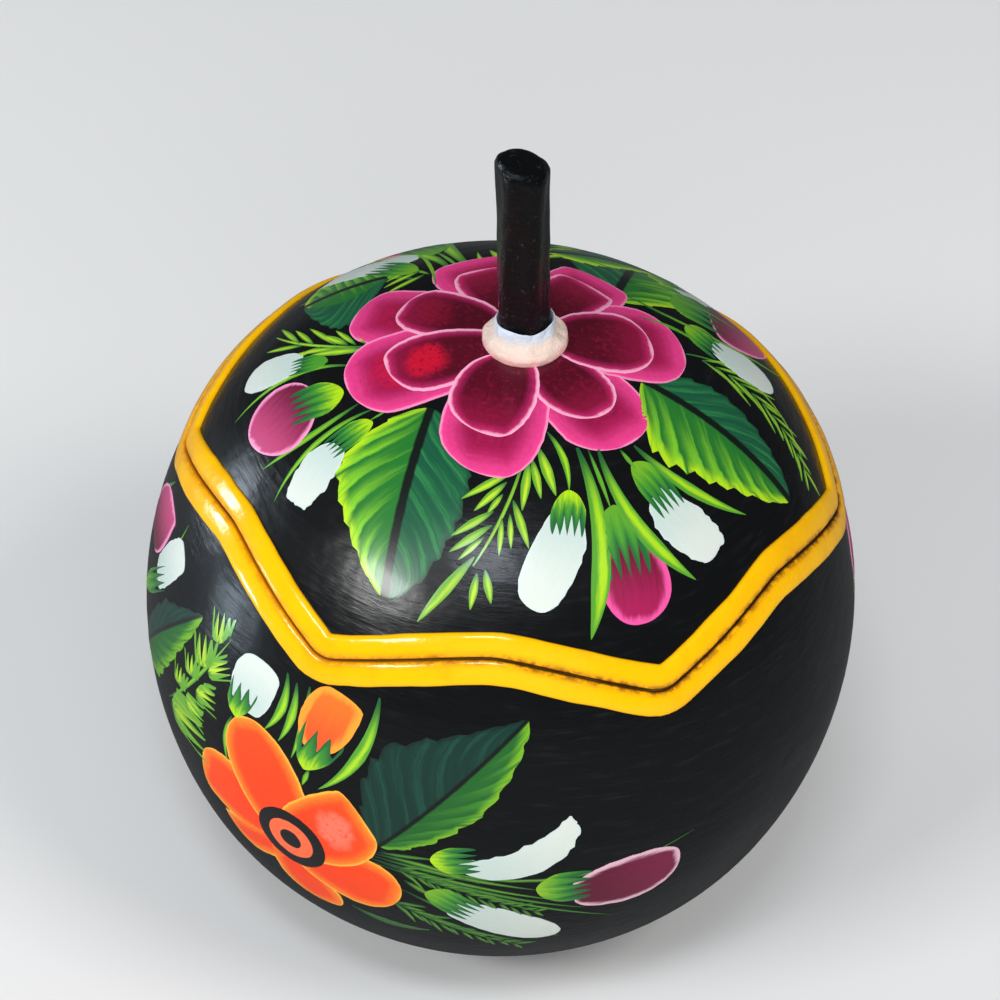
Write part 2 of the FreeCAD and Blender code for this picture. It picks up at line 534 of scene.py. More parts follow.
    def bump(self, height: object, strength: float, distance: float) -> None:
        """Raise the surface by a pattern.

        Args:
            height: The pattern.
            strength: How far it shows.
            distance: How high it stands where it is 1.
        """
        made = self.node("ShaderNodeBump")
        made.inputs["Strength"].default_value = strength
        made.inputs["Distance"].default_value = distance
        self.feed(made.inputs["Height"], height)
        self.feed(self.shader.inputs["Normal"], made.outputs["Normal"])

    def dull(self, level: float) -> None:
        """Set how strongly the surface mirrors, where 0.5 is plain varnish."""
        self.shader.inputs["Specular IOR Level"].default_value = level

    def colour(self, value: object) -> None:
        """Give the surface its colour."""
        self.feed(self.shader.inputs["Base Color"], value)


@dataclass(frozen=True, kw_only=True)
class Finish:
    """What every finish has: its roughness, clear coat, mirroring and relief.

    A bump is how far the relief shows, and the relief how high it stands.
    """

    roughness: float = 0.32
    coat: float = 0.3
    coat_roughness: float = 0.14
    mirror: float = 0.5
    bump: float = 0.3
    relief: float = 0.12 * MM

    def make(self, name: str) -> bpy.types.Material:
        """Build the finish.

        Args:
            name: The material's name.

        Returns:
            The material.
        """
        bench = Bench(name, self.roughness, self.coat, self.coat_roughness)
        bench.dull(self.mirror)
        self.paint(bench)
        return bench.material

    def paint(self, bench: Bench) -> None:
        """Lay the colours and the relief, which each finish does in its own way."""
        raise NotImplementedError


@dataclass(frozen=True, kw_only=True)
class BlackLacquer(Finish):
    """Brushed black lacquer outside, bare gourd inside and pale cut lips.

    Seen from the gourd's centre, a painted wall faces outwards and a bare one inwards.
    """

    centre_height: float
    black: Shade = (13, 14, 15)
    # The lighter black of worn brush marks; no shade is painted in the lacquer.
    worn_and_shaded_side: Shade = (27, 29, 32)
    rind: Shade = (176, 132, 78)
    pith: Shade = (214, 182, 126)
    lip: Shade = (206, 168, 104)
    roughness: float = 0.27
    coat: float = 0.0
    coat_roughness: float = 0.1
    smoothest: float = 0.2
    roughness_spread: float = 0.16
    bare_roughness: float = 0.75
    mirror: float = 0.4
    outward_facing: tuple[float, float] = (0.62, 0.66)
    inward_facing: tuple[float, float] = (-0.6, -0.4)
    brush_grain: tuple = (110.0, 110.0, 900.0)
    cloud_grain: tuple = (55.0, 55.0, 70.0)
    flesh_grain: tuple = (90.0, 90.0, 160.0)
    cloud_height: float = 6.0
    bump: float = 0.45
    relief: float = 0.22 * MM

    def paint(self, bench: Bench) -> None:
        """Lay the colours and the relief.

        Args:
            bench: Where the finish is built.
        """
        ray = bench.node("ShaderNodeVectorMath", operation="NORMALIZE")
        bench.feed(ray.inputs[0], bench.place(start=(0.0, 0.0, -self.centre_height)))
        facing = bench.node("ShaderNodeVectorMath", operation="DOT_PRODUCT")
        bench.feed(facing.inputs[0], ray.outputs[0])
        bench.feed(facing.inputs[1], bench.node("ShaderNodeNewGeometry").outputs["True Normal"])
        face = facing.outputs["Value"]
        brushed = bench.patches(self.brush_grain, 4.0, 0.62)
        cloudy = bench.patches(self.cloud_grain)
        flesh = bench.patches(self.flesh_grain, 5.0, 0.6)
        outside = bench.mix(bench.rise(brushed, 0.5, 0.85), self.black, self.worn_and_shaded_side)
        inside = bench.mix(bench.rise(flesh, 0.35, 0.7), self.rind, self.pith)
        bare = bench.mix(bench.rise(face, *self.inward_facing), inside, self.lip)
        painted = bench.rise(face, *self.outward_facing)
        bench.colour(bench.mix(painted, bare, outside))
        glossy = bench.reckon("MULTIPLY_ADD", cloudy, self.roughness_spread, self.smoothest)
        gloss = bench.node("ShaderNodeMix", data_type="FLOAT")
        share, bare_side, painted_side = gloss.inputs[0], gloss.inputs[2], gloss.inputs[3]
        bench.feed(share, painted)
        bench.feed(bare_side, self.bare_roughness)
        bench.feed(painted_side, glossy)
        bench.feed(bench.shader.inputs["Roughness"], gloss.outputs[0])
        uneven = bench.reckon("MULTIPLY_ADD", cloudy, self.cloud_height, brushed)
        bench.bump(uneven, self.bump, self.relief)


@dataclass(frozen=True, kw_only=True)
class BandPaint(Finish):
    """Thick glossy yellow, oranger in places, with painted shade along the seam.

    Toward the seam the paint turns oranger and takes brown specks of dirt and shade, and in the gap
    it becomes a painted shadow line, orange on the lit left and near black on the right. The seam's
    distances are in millimetres. The painted shade grows heavier across the band toward the right,
    away from the lamps.
    """

    yellow: Shade = (255, 190, 0)
    orange: Shade = (246, 160, 0)
    # Painted shade along the seam: brown specks of dirt and shade, and the gap's line, orange on the lit
    # left and a near black painted shadow on the right.
    dirt_and_seam_shade: Shade = (120, 66, 10)
    seam: Shade = (196, 118, 8)
    painted_seam_shadow: Shade = (60, 34, 8)
    roughness: float = 0.2
    coat: float = 0.4
    coat_roughness: float = 0.06
    mirror: float = 0.3
    # How far the painted shade reaches from the seam, in millimetres, and the two x places across which
    # it grows heavier toward the right.
    dirt_and_shade_reach: float = 1.6
    shade_reach: float = 2.2
    seam_reach: float = 0.45
    shaded_side_start: float = -0.04
    shaded_side_end: float = 0.01
    patch_grain: float = 70.0
    speck_grain: float = 420.0
    lump_grain: float = 150.0
    bump: float = 0.6
    relief: float = 0.7 * MM

    def paint(self, bench: Bench) -> None:
        """Lay the colours and the relief.

        Args:
            bench: Where the finish is built.
        """
        patches = bench.patches(self.patch_grain, 4.0, 0.6)
        specks = bench.patches(self.speck_grain, 4.0, 0.7)
        paint = bench.mix(bench.rise(patches, 0.45, 0.75, 0.6), self.yellow, self.orange)
        away = bench.attribute("seam")
        # Brown specks of dirt and painted shade near the seam.
        dirt_and_shade = bench.times(bench.rise(away, self.dirt_and_shade_reach, 0.1), bench.rise(specks, 0.38, 0.62))
        axes = bench.node("ShaderNodeSeparateXYZ")
        bench.feed(axes.inputs[0], bench.place())
        # The shaded side: nought on the lit left and one on the right, where the painted shade is
        # heavier.
        worn_and_shaded_side = bench.rise(axes.outputs[0], self.shaded_side_start, self.shaded_side_end)
        # Painted shade: the paint turns oranger toward the seam.
        paint = bench.mix(bench.rise(away, self.shade_reach, 0.2, 0.55), paint, self.orange)
        share = bench.plus(bench.times(worn_and_shaded_side, 0.5), 0.4)
        paint = bench.mix(bench.times(dirt_and_shade, share), paint, self.dirt_and_seam_shade)
        # The painted shadow line in the gap, orange on the lit left and near black on the right.
        dark = bench.mix(worn_and_shaded_side, self.seam, self.painted_seam_shadow)
        bench.colour(bench.mix(bench.rise(away, self.seam_reach, 0.0), paint, dark))
        lumps = bench.patches(self.lump_grain)
        bench.bump(bench.plus(lumps, bench.times(specks, 0.1)), self.bump, self.relief)


@dataclass(frozen=True, kw_only=True)
class StemLacquer(Finish):
    """Black lacquer over a rough dry stem, with specks of dust in it."""

    black: Shade = (9, 10, 11)
    dust: Shade = (64, 70, 70)
    roughness: float = 0.17
    coat: float = 0.12
    coat_roughness: float = 0.06
    mirror: float = 0.26
    fibre_grain: tuple = (700.0, 700.0, 90.0)
    pit_grain: tuple = (900.0, 900.0, 700.0)
    bump: float = 0.9
    relief: float = 0.45 * MM

    def paint(self, bench: Bench) -> None:
        """Lay the colours and the relief.

        Args:
            bench: Where the finish is built.
        """
        fibres = bench.patches(self.fibre_grain, 4.0, 0.65)
        pits = bench.patches(self.pit_grain, 3.0, 0.7)
        bench.colour(bench.mix(bench.rise(pits, 0.6, 0.8), self.black, self.dust))
        bench.bump(bench.plus(fibres, pits), self.bump, self.relief)


@dataclass(frozen=True, kw_only=True)
class CollarPaste(Finish):
    """Chalky cream paste, pink at its rim and white where it runs up the stem, the white with a painted
    bluish shade.
    """

    # The paste's white, with a painted bluish shade in it.
    white: Shade = (204, 214, 226)
    cream: Shade = (228, 204, 188)
    pink: Shade = (230, 172, 166)
    roughness: float = 0.48
    coat: float = 0.0
    coat_roughness: float = 0.1
    lump_grain: float = 380.0
    bump: float = 0.9
    relief: float = 0.8 * MM

    def paint(self, bench: Bench) -> None:
        """Lay the colours and the relief.

        Args:
            bench: Where the finish is built.
        """
        lumps = bench.patches(self.lump_grain, 4.0, 0.6)
        moved = bench.plus(bench.attribute("run"), bench.times(bench.minus(lumps, 0.5), 0.5))
        stops = (0.05, self.pink), (0.3, self.cream), (0.62, self.cream), (0.85, self.white)
        bench.colour(bench.steps(moved, *stops))
        bench.bump(lumps, self.bump, self.relief)


@dataclass(frozen=True, kw_only=True)
class PetalPaint(Finish):
    """A petal shaded from a dark heart to a pale thin rim, in rings of brush marks.

    The widths are in millimetres from the petal's edge. Only petals of a high tint have the red patch.
    """

    heart: Shade
    middle: Shade
    blush: Shade
    rim: Shade
    blush_width: float
    rim_width: float
    patch: Shade
    patch_share: float = 0.64
    patch_tint: float = 0.8
    roughness: float = 0.3
    coat: float = 0.15
    coat_roughness: float = 0.12
    mirror: float = 0.3
    dust_grain: float = 900.0
    blot_grain: float = 160.0
    rings_per_mm: float = 1.9

    def red(self, bench: Bench, share: Socket, tint: Socket, dusty: Socket) -> Socket:
        """Work out how red the patch is.

        Args:
            bench: The finish's bench.
            share: How far along the petal a point is.
            tint: The petal's tint.
            dusty: The fine grain that breaks the patch up.

        Returns:
            The red's share.
        """
        blots = bench.minus(bench.patches(self.blot_grain, 4.0, 0.6), 0.5)
        spread = bench.reckon("POWER", bench.times(bench.minus(share, self.patch_share), 4.6), 2.0)
        aside = bench.reckon("POWER", bench.times(bench.attribute("side"), 1.7), 2.0)
        far = bench.plus(bench.plus(spread, aside), bench.times(blots, 2.4))
        chosen = bench.times(bench.rise(tint, self.patch_tint, 0.95), bench.rise(dusty, 0.3, 0.5))
        return bench.times(chosen, bench.rise(far, 1.2, 0.1))

    def paint(self, bench: Bench) -> None:
        """Lay the colours and the relief.

        Args:
            bench: Where the finish is built.
        """
        edge, share, tint = (bench.attribute(which) for which in ("edge", "share", "tint"))
        rings = bench.grain(bench.triple(bench.times(edge, self.rings_per_mm), share, tint), 4.0, 0.65)
        dusty = bench.patches(self.dust_grain, 4.0, 0.75)
        stray = bench.minus(bench.plus(rings, dusty), 1.0)
        length = bench.plus(share, bench.times(stray, 0.5))
        body = bench.mix(bench.rise(length, 0.35, 0.95), self.heart, self.middle)
        body = bench.mix(bench.rise(dusty, 0.52, 0.72, 0.85), body, self.middle)
        moved = bench.plus(edge, bench.times(stray, 0.55 * self.blush_width))
        body = bench.mix(bench.rise(moved, self.blush_width, 0.0), body, self.blush)
        body = bench.mix(self.red(bench, share, tint, dusty), body, self.patch)
        fine = bench.plus(edge, bench.times(stray, 0.7 * self.rim_width))
        pale = bench.times(bench.rise(fine, self.rim_width, 0.3 * self.rim_width), 0.9)
        bench.colour(bench.mix(pale, body, self.rim))
        bench.bump(rings, self.bump, self.relief)


@dataclass(frozen=True, kw_only=True)
class LeafPaint(Finish):
    """A leaf with a light half and a dark half, slanted strokes for its veins and a bare midrib.

    The slant is how far a vein runs toward the tip by the leaf's edge. The gap is the midrib's half
    width and the margin the light edge's width, in millimetres.
    """

    light: Shade
    light_stroke: Shade
    light_edge: Shade
    dark: Shade
    dark_stroke: Shade
    bare: Shade = (16, 24, 20)
    veins: float = 8.5
    slant: float = 0.31
    gap: float = 0.8
    margin: float = 2.6
    bristles: float = 4.5
    bump: float = 0.2
    relief: float = 0.1 * MM

    def paint(self, bench: Bench) -> None:
        """Lay the colours and the relief.

        Args:
            bench: Where the finish is built.
        """
        side, share, edge = (bench.attribute(which) for which in ("side", "share", "edge"))
        out = bench.reckon("ABSOLUTE", side)
        wander = bench.times(bench.minus(bench.streaks(0.3, 0.3), 0.5), 0.03)
        curved = bench.times(bench.reckon("POWER", out, 1.05), self.slant)
        phase = bench.times(bench.plus(bench.minus(share, curved), wander), self.veins)
        along_vein = bench.triple(bench.times(phase, self.bristles), bench.times(out, 1.1),
                                  bench.attribute("tint"))
        marks = bench.grain(along_vein, 3.0, 0.6)
        saw = bench.reckon("FRACT", bench.plus(phase, 8.0))
        stroke = bench.times(bench.rise(saw, 0.0, 0.8), bench.rise(saw, 1.0, 0.86))
        fade = bench.rise(bench.plus(out, bench.minus(marks, 0.5)), 0.05, 0.95)
        light = bench.mix(bench.times(stroke, fade), self.light, self.light_stroke)
        rim = bench.times(bench.rise(edge, self.margin, 0.3), bench.rise(marks, 0.3, 0.55))
        light = bench.mix(rim, light, self.light_edge)
        faint = bench.times(bench.times(stroke, bench.rise(marks, 0.35, 0.65)), 0.7)
        dark = bench.mix(faint, self.dark, self.dark_stroke)
        dark = bench.mix(bench.rise(edge, 1.2, 0.0, 0.5), dark, self.bare)
        body = bench.mix(bench.rise(side, -0.02, 0.02), dark, light)
        off = bench.plus(bench.reckon("ABSOLUTE", bench.attribute("across")), bench.times(marks, 0.3))
        bench.colour(bench.mix(bench.rise(off, self.gap, self.gap + 0.5), self.bare, body))
        bench.bump(marks, self.bump, self.relief)


@dataclass(frozen=True, kw_only=True)
class BudPaint(Finish):
    """A closed bud, loaded with paint at its tip and thinner toward its calyx."""

    base: Shade
    body: Shade
    rim: Shade
    rim_width: float
    roughness: float = 0.34
    coat: float = 0.25
    coat_roughness: float = 0.15
    bump: float = 0.35
    relief: float = 0.15 * MM

    def paint(self, bench: Bench) -> None:
        """Lay the colours and the relief.

        Args:
            bench: Where the finish is built.
        """
        marks = bench.streaks(1.3, 0.18)
        stray = bench.minus(marks, 0.5)
        share = bench.plus(bench.attribute("share"), bench.times(stray, 0.35))
        body = bench.mix(bench.rise(share, 0.1, 0.9), self.base, self.body)
        edge = bench.plus(bench.attribute("edge"), bench.times(stray, self.rim_width))
        bench.colour(bench.mix(bench.rise(edge, self.rim_width, 0.25 * self.rim_width), body, self.rim))
        bench.bump(marks, self.bump, self.relief)


@dataclass(frozen=True, kw_only=True)
class GreenPaint(Finish):
    """Green strokes with a bright lime run of paint along them, or at their base."""

    deep: Shade
    green: Shade
    lime: Shade
    lime_at_base: bool = False

    def paint(self, bench: Bench) -> None:
        """Lay the colours and the relief.

        Args:
            bench: Where the finish is built.
        """
        marks = bench.streaks(1.5, 0.2)
        stray = bench.minus(marks, 0.5)
        share = bench.attribute("share")
        if self.lime_at_base:
            bright = bench.rise(bench.plus(share, bench.times(stray, 0.9)), 0.6, 0.05)
            green = bench.mix(bench.rise(share, 0.4, 1.0), self.green, self.deep)
        else:
            side = bench.reckon("ABSOLUTE", bench.minus(bench.attribute("side"), 0.15))
            ridge = bench.rise(bench.plus(side, stray), 0.75, 0.1)
            ends = bench.times(bench.rise(share, 0.05, 0.45), bench.rise(share, 1.0, 0.75))
            bright = bench.times(ridge, ends)
            green = bench.mix(bench.rise(share, 0.0, 0.3), self.deep, self.green)
        chosen = bench.rise(bench.attribute("tint"), 0.0, 0.8)
        strong = bench.reckon("MULTIPLY", bright, chosen, clamp=True)
        bench.colour(bench.mix(strong, green, self.lime))
        bench.bump(marks, self.bump, self.relief)


@dataclass(frozen=True, kw_only=True)
class PlainPaint(Finish):
    """One colour laid on thickly, with a fainter one where the bristles ran dry."""

    full: Shade
    thin: Shade

    def paint(self, bench: Bench) -> None:
        """Lay the colours and the relief.

        Args:
            bench: Where the finish is built.
        """
        marks = bench.streaks(1.2, 0.5)
        bench.colour(bench.mix(bench.rise(marks, 0.45, 0.8, 0.7), self.full, self.thin))
        bench.bump(marks, self.bump, self.relief)


@dataclass(frozen=True)
class Brush:
    """How one kind of dab is shaped between its base and its tip.

    The width shares are of the widest place. A roundness of 2 gives an ellipse, 1 a straight taper.
    """

    along: int
    across: int
    base_share: float = 0.0
    base_round: float = 2.0
    tip_share: float = 0.0
    tip_round: float = 2.0
    far_round: float = 0.0
    fingers: int = 0
    finger_share: float = 0.0
    teeth: int = 0
    tooth_share: float = 0.0
    ragged: float = 0.0
    split: bool = False

    def swell(self, share: Points, belly: float, far_side: bool) -> Points:
        """Give the width along the dab as a share of its widest.

        Args:
            share: How far along the dab.
            belly: Where it is widest.
            far_side: Whether this is the side with the right point.

        Returns:
            The width shares.
        """
        before = share < belly
        left = np.where(before, (belly - share) / belly, (share - belly) / (1 - belly))
        tip_round = self.far_round if far_side and self.far_round else self.tip_round
        power = np.where(before, self.base_round, tip_round)
        end = np.where(before, self.base_share, self.tip_share)
        return end + (1 - end) * (1 - np.clip(left, 0, 1) ** power) ** (1 / power)


PETAL = Brush(along=30, across=18, base_share=0.3, ragged=0.25)
LEAF = Brush(along=64, across=20, base_round=1.5, tip_round=1.2, far_round=1.85,
             teeth=9, tooth_share=0.1, ragged=0.25, split=True)
FULL_LEAF = replace(LEAF, base_round=1.6, tip_round=1.4, far_round=1.4, tooth_share=0.13, ragged=0.3)
DROP_LEAF = replace(LEAF, base_round=1.7, tip_round=1.45, far_round=1.0,
                    teeth=8, tooth_share=0.13, ragged=0.4)
OVAL = Brush(along=22, across=14, ragged=0.15)
BUD = Brush(along=22, across=16, base_share=0.35, base_round=1.7, tip_round=2.2, ragged=0.3)
BLUNT = Brush(along=26, across=22, base_share=0.3, base_round=1.6, tip_share=0.42,
              tip_round=2.1, ragged=0.7)
CALYX = Brush(along=16, across=40, base_round=1.6, tip_share=0.8, fingers=5, finger_share=0.42)
CLAW = Brush(along=16, across=40, base_round=1.35, tip_share=0.95, fingers=4, finger_share=0.55)
SPIKES = Brush(along=16, across=50, base_round=1.2, tip_share=1.35, fingers=5, finger_share=0.85)
BLADE = Brush(along=18, across=4, base_share=0.15, base_round=1.3, tip_round=1.25)
LEAFLET = Brush(along=12, across=4, base_round=1.5, tip_round=1.35)
STALK = Brush(along=16, across=3, base_share=0.7, base_round=1.5, tip_share=0.35, tip_round=1.5)


@dataclass(frozen=True)
class Dab:
    """One touch of a brush, read from the picture.

    It has either two side points or a width in millimetres. Via is a point that a bent dab runs
    through, the belly is where it is widest, and each layer lies on the one before.
    """

    brush: Brush
    base: Pixel
    tip: Pixel
    left: Pixel | None = None
    right: Pixel | None = None
    width: float = 0.0
    via: Pixel | None = None
    tint: float = 0.5
    layer: float = 0.0
    belly: float = 0.5


@dataclass(frozen=True)
class Touch:
    """A dab that has been placed on the gourd. Each side is its share along the dab and its offset."""

    brush: Brush
    base: tuple
    tip: tuple
    left: tuple[float, float]
    right: tuple[float, float]
    bow: tuple[float, float] = (0.5, 0.0)
    tint: float = 0.5
    layer: float = 0.0

    def opposite(self) -> "Touch":
        """Give a copy on the far side of the gourd."""
        turn = Matrix.Rotation(math.pi, 3, "Z")
        return replace(self, base=tuple(turn @ Vector(self.base)), tip=tuple(turn @ Vector(self.tip)))


@dataclass(frozen=True)
class Fern:
    """A bent stalk with pairs of leaflets down it, read from the picture.

    The length of its leaflets and the widths are in millimetres, and the fan is how far a leaflet
    turns from the stalk, in radians. The wander is a share of the length or of the fan.
    """

    base: Pixel
    via: Pixel
    tip: Pixel
    pairs: int
    length: float
    fan: float
    width: float
    stalk_width: float = 0.6
    first_pair: float = 0.1
    pair_span: float = 0.86
    shortening: float = 0.35
    length_wander: float = 0.2
    fan_wander: float = 0.25


def outlined(brush: Brush, layer: float, rows: tuple) -> list[Dab]:
    """Write dabs of one brush and layer from rows of base, tip, both sides and tint."""
    return [Dab(brush, base, tip, left, right, tint=tint, layer=layer)
            for base, tip, left, right, tint in rows]


def stroked(brush: Brush, layer: float, rows: tuple) -> list[Dab]:
    """Write narrow dabs of one brush and layer from rows of base, tip, bend, width and tint."""
    return [Dab(brush, base, tip, via=via, width=width, tint=tint, layer=layer)
            for base, tip, via, width, tint in rows]


@dataclass
class Painter:
    """Lays dabs on the gourd and joins those of one kind into a piece."""

    skin: GourdSkin
    view: Viewpoint
    lift: float = 0.045 * MM
    layer_step: float = 0.03 * MM
    relief: float = 0.02 * MM
    relief_reach: float = 0.6 * MM
    thickness: float = 0.55 * MM
    end_share: float = 0.12
    waves: tuple = (0.8, 5.3, 91.7)
    smooth_angle: float = math.radians(50)
    moulds: dict = field(default_factory=dict)

    def look(self, pixel: Pixel) -> Points:
        """Find the point of the gourd that a pixel shows."""
        return self.view.look(pixel, self.skin)

    def frame(self, base: Points, tip: Points) -> tuple[Points, Points, float]:
        """Work out how a dab lies.

        Args:
            base: Its base.
            tip: Its tip.

        Returns:
            The directions along and across it, and its length.
        """
        chord = tip - base
        length = float(np.linalg.norm(chord))
        along = chord / length
        across = np.cross(self.skin.outward((base + tip) / 2), along)
        return along, across / np.linalg.norm(across), length

    def place(self, dab: Dab, base: Points | None = None) -> Touch:
        """Place a dab on the gourd.

        Args:
            dab: The dab in the picture.
            base: Its base, where that is known better than by a pixel.

        Returns:
            The placed dab.
        """
        if base is None:
            base = self.look(dab.base)
        tip = self.look(dab.tip)
        along, across, length = self.frame(base, tip)

        def measure(pixel: Pixel) -> tuple[float, float]:
            """Give a pixel's share along the dab and its offset."""
            ray = self.look(pixel) - base
            share = min(max(float(ray @ along) / length, self.end_share), 1 - self.end_share)
            return share, float(ray @ across)

        bow = measure(dab.via) if dab.via else (0.5, 0.0)
        sides = (dab.belly, dab.width / 2 * MM), (dab.belly, -dab.width / 2 * MM)
        if dab.left and dab.right:
            sides = measure(dab.left), measure(dab.right)
            bend = bow[1] / (bow[0] * (1 - bow[0]))
            sides = tuple((share, offset - bend * share * (1 - share)) for share, offset in sides)
        left, right = sides
        return Touch(dab.brush, tuple(base), tuple(tip), left, right, bow, dab.tint, dab.layer)

    def place_all(self, dabs: list[Dab]) -> list[Touch]:
        """Place a list of dabs."""
        return [self.place(dab) for dab in dabs]

    def fern(self, fern: Fern) -> list[Touch]:
        """Place a fern.

        Args:
            fern: The fern in the picture.

        Returns:
            Its stalk and its leaflets.
        """
        stalk = Dab(STALK, fern.base, fern.tip, via=fern.via, width=fern.stalk_width, tint=0.3)
        touches = [self.place(stalk)]
        start, bend, end = (self.look(pixel) for pixel in (fern.base, fern.via, fern.tip))
        half = fern.width / 2 * MM
        for index in range(fern.pairs):
            share = fern.first_pair + fern.pair_span * index / (fern.pairs - 1)
            first, second = start + (bend - start) * share, bend + (end - bend) * share
            foot = self.skin.settle(first + (second - first) * share)[0]
            ahead = second - first
            ahead /= np.linalg.norm(ahead)
            across = np.cross(self.skin.outward(foot), ahead)
            tint = 0.4 + 0.5 * (index % 3) / 2
            for sign in (1, -1):
                varied = 1 + fern.length_wander * math.cos(1.7 * index + sign)
                grown = fern.length * MM * (1 - fern.shortening * share) * varied
                spread = fern.fan * (1 + fern.fan_wander * math.sin(2.4 * index + sign))
                point = foot + grown * (ahead * math.cos(spread) + across * sign * math.sin(spread))
                tip = tuple(self.skin.settle(point)[0])
                sides = (0.5, half), (0.5, -half)
                touches.append(Touch(LEAFLET, tuple(foot), tip, *sides, tint=tint, layer=1))
        return touches

    def mould(self, brush: Brush) -> bpy.types.Object:
        """Find the flat grid that every dab of a brush starts from.

        Args:
            brush: The brush.

        Returns:
            The grid, made once.
        """
        if brush not in self.moulds:
            bpy.ops.object.select_all(action="DESELECT")
            bpy.ops.mesh.primitive_grid_add(x_subdivisions=brush.along, y_subdivisions=brush.across,
                                            size=2)
            self.moulds[brush] = bpy.context.object
        return self.moulds[brush]

    def lay(self, touch: Touch) -> bpy.types.Object:
        """Lay one dab on the gourd.

        Args:
            touch: The placed dab.

        Returns:
            An open sheet of paint, a hair above the lacquer.
        """
        brush = touch.brush
        sheet = self.mould(brush).copy()
        sheet.data = sheet.data.copy()
        bpy.context.scene.collection.objects.link(sheet)
        flat = vertex_rows(sheet)
        count = len(flat)
        share = (1 - np.cos(math.pi * np.clip((flat[:, 0] + 1) / 2, 0, 1))) / 2
        side = np.clip(flat[:, 1], -1, 1)
        base, tip = np.array(touch.base), np.array(touch.tip)
        along, across, length = self.frame(base, tip)
        high, low, named = touch.left, touch.right, side
        if high[1] < low[1]:
            high, low, named = low, high, -side
        high_offset = high[1] * brush.swell(share, high[0], high is touch.right)
        low_offset = low[1] * brush.swell(share, low[0], low is touch.right)
        if brush.split:
            offset = np.where(side > 0, high_offset * side, -low_offset * side)
        else:
            offset = (high_offset * (1 + side) + low_offset * (1 - side)) / 2
        half = np.maximum((high_offset - low_offset) / 2, 0)
        if brush.teeth:
            saw = (share * brush.teeth) % 1.0
            offset *= 1 + brush.tooth_share * (saw - 0.5) * np.abs(side) ** 3
        if brush.ragged:
            wavering = self.wander(share * length, np.sign(side), touch.tint)
            offset += brush.ragged * MM * np.abs(side) ** 3 * wavering
        bow_share, bow = touch.bow
        offset += bow * share * (1 - share) / (bow_share * (1 - bow_share))
        reach = share.copy()
        if brush.fingers:
            wave = np.abs(((side + 1) / 2 * (brush.fingers - 1) + 0.5) % 1.0 * 2 - 1)
            jitter = 1 + 1.1 * self.wander(side * brush.fingers * MM, np.ones(count), touch.tint + 3)
            reach *= 1 - brush.finger_share * wave * np.clip(jitter, 0.7, 1.12)
        if brush.ragged and brush.tip_share:
            blunt = self.wander(side * 3 * MM, np.ones(count), touch.tint + 7)
            reach += brush.ragged * 0.5 * MM / length * blunt * share ** 8
        inner = np.minimum((1 - np.abs(side)) * half, (1 - share) * length)
        rounded = self.relief * np.clip(inner / self.relief_reach, 0, 1)
        growth = self.lift + touch.layer * self.layer_step + rounded
        points = base + np.outer(reach * length, along) + np.outer(offset, across)
        sheet.data.vertices.foreach_set("co", self.skin.settle(points, growth).ravel())
        notes = {
            "share": share,
            "side": named,
            "edge": inner / MM,
            "along": share * length / MM,
            "across": (offset if brush.split else named * half) / MM,
            "tint": np.full(count, touch.tint),
        }
        for name, values in notes.items():
            note(sheet, name, values)
        return sheet

    def wander(self, place: Points, which: Points, seed: float) -> Points:
        """Work out a smooth wavering along a side, the same in each run.

        Args:
            place: How far along each point is.
            which: The side that it is on.
            seed: What tells one dab from another.

        Returns:
            A number from -1 to 1 for each point.
        """
        slow, apart, between = self.waves
        rows = [(float(x) * slow, float(y) * apart, seed * between) for x, y in zip(place / MM, which)]
        return np.array([noise.noise(Vector(row)) for row in rows])

    def piece(self, name: str, body: Body, touches: list[Touch], finish: bpy.types.Material) -> None:
        """Join dabs into one piece of paint.

        Args:
            name: The piece's name.
            body: The body that it moves with.
            touches: The placed dabs.
            finish: Its material.
        """
        sheets = [self.lay(touch) for touch in touches]
        bpy.ops.object.select_all(action="DESELECT")
        for sheet in sheets:
            sheet.select_set(True)
        joined = sheets[0]
        bpy.context.view_layer.objects.active = joined
        if len(sheets) > 1:
            bpy.ops.object.join()
        skin_coat = joined.modifiers.new("thickness", "SOLIDIFY")
        skin_coat.thickness = self.thickness
        skin_coat.offset = -1
        bpy.ops.object.modifier_apply(modifier=skin_coat.name)
        rows = vertex_rows(joined)
        outer = rows[:len(rows) // 2]
        rows = np.concatenate((outer, self.skin.settle(outer, -self.thickness)))
        joined.data.vertices.foreach_set("co", rows.ravel())
        joined.data.update()
        bpy.ops.object.shade_smooth_by_angle(angle=self.smooth_angle)
        dress(joined, name, body, finish)

    def clear(self) -> None:
        """Throw the moulds away."""
        for mould in self.moulds.values():
            bpy.data.objects.remove(mould)
        self.moulds.clear()


def note(piece: bpy.types.Object, name: str, values: Points) -> None:
    """Write a number at each point of a mesh for its finish to read."""
    layer = piece.data.attributes.new(name, "FLOAT", "POINT")
    layer.data.foreach_set("value", np.asarray(values, np.float32))


def dress(piece: bpy.types.Object, name: str, body: Body,
          finish: bpy.types.Material) -> None:
    """Name a piece, give it its finish and let it ride.

    Args:
        piece: The mesh, at the origin.
        name: The piece's name.
        body: The body that it moves with.
        finish: Its material.
    """
    piece.name = name
    piece.data.name = name
    piece.data.materials.clear()
    piece.data.materials.append(finish)
    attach(piece, body.value)
    LOG.info("%s: %d faces", name, len(piece.data.polygons))


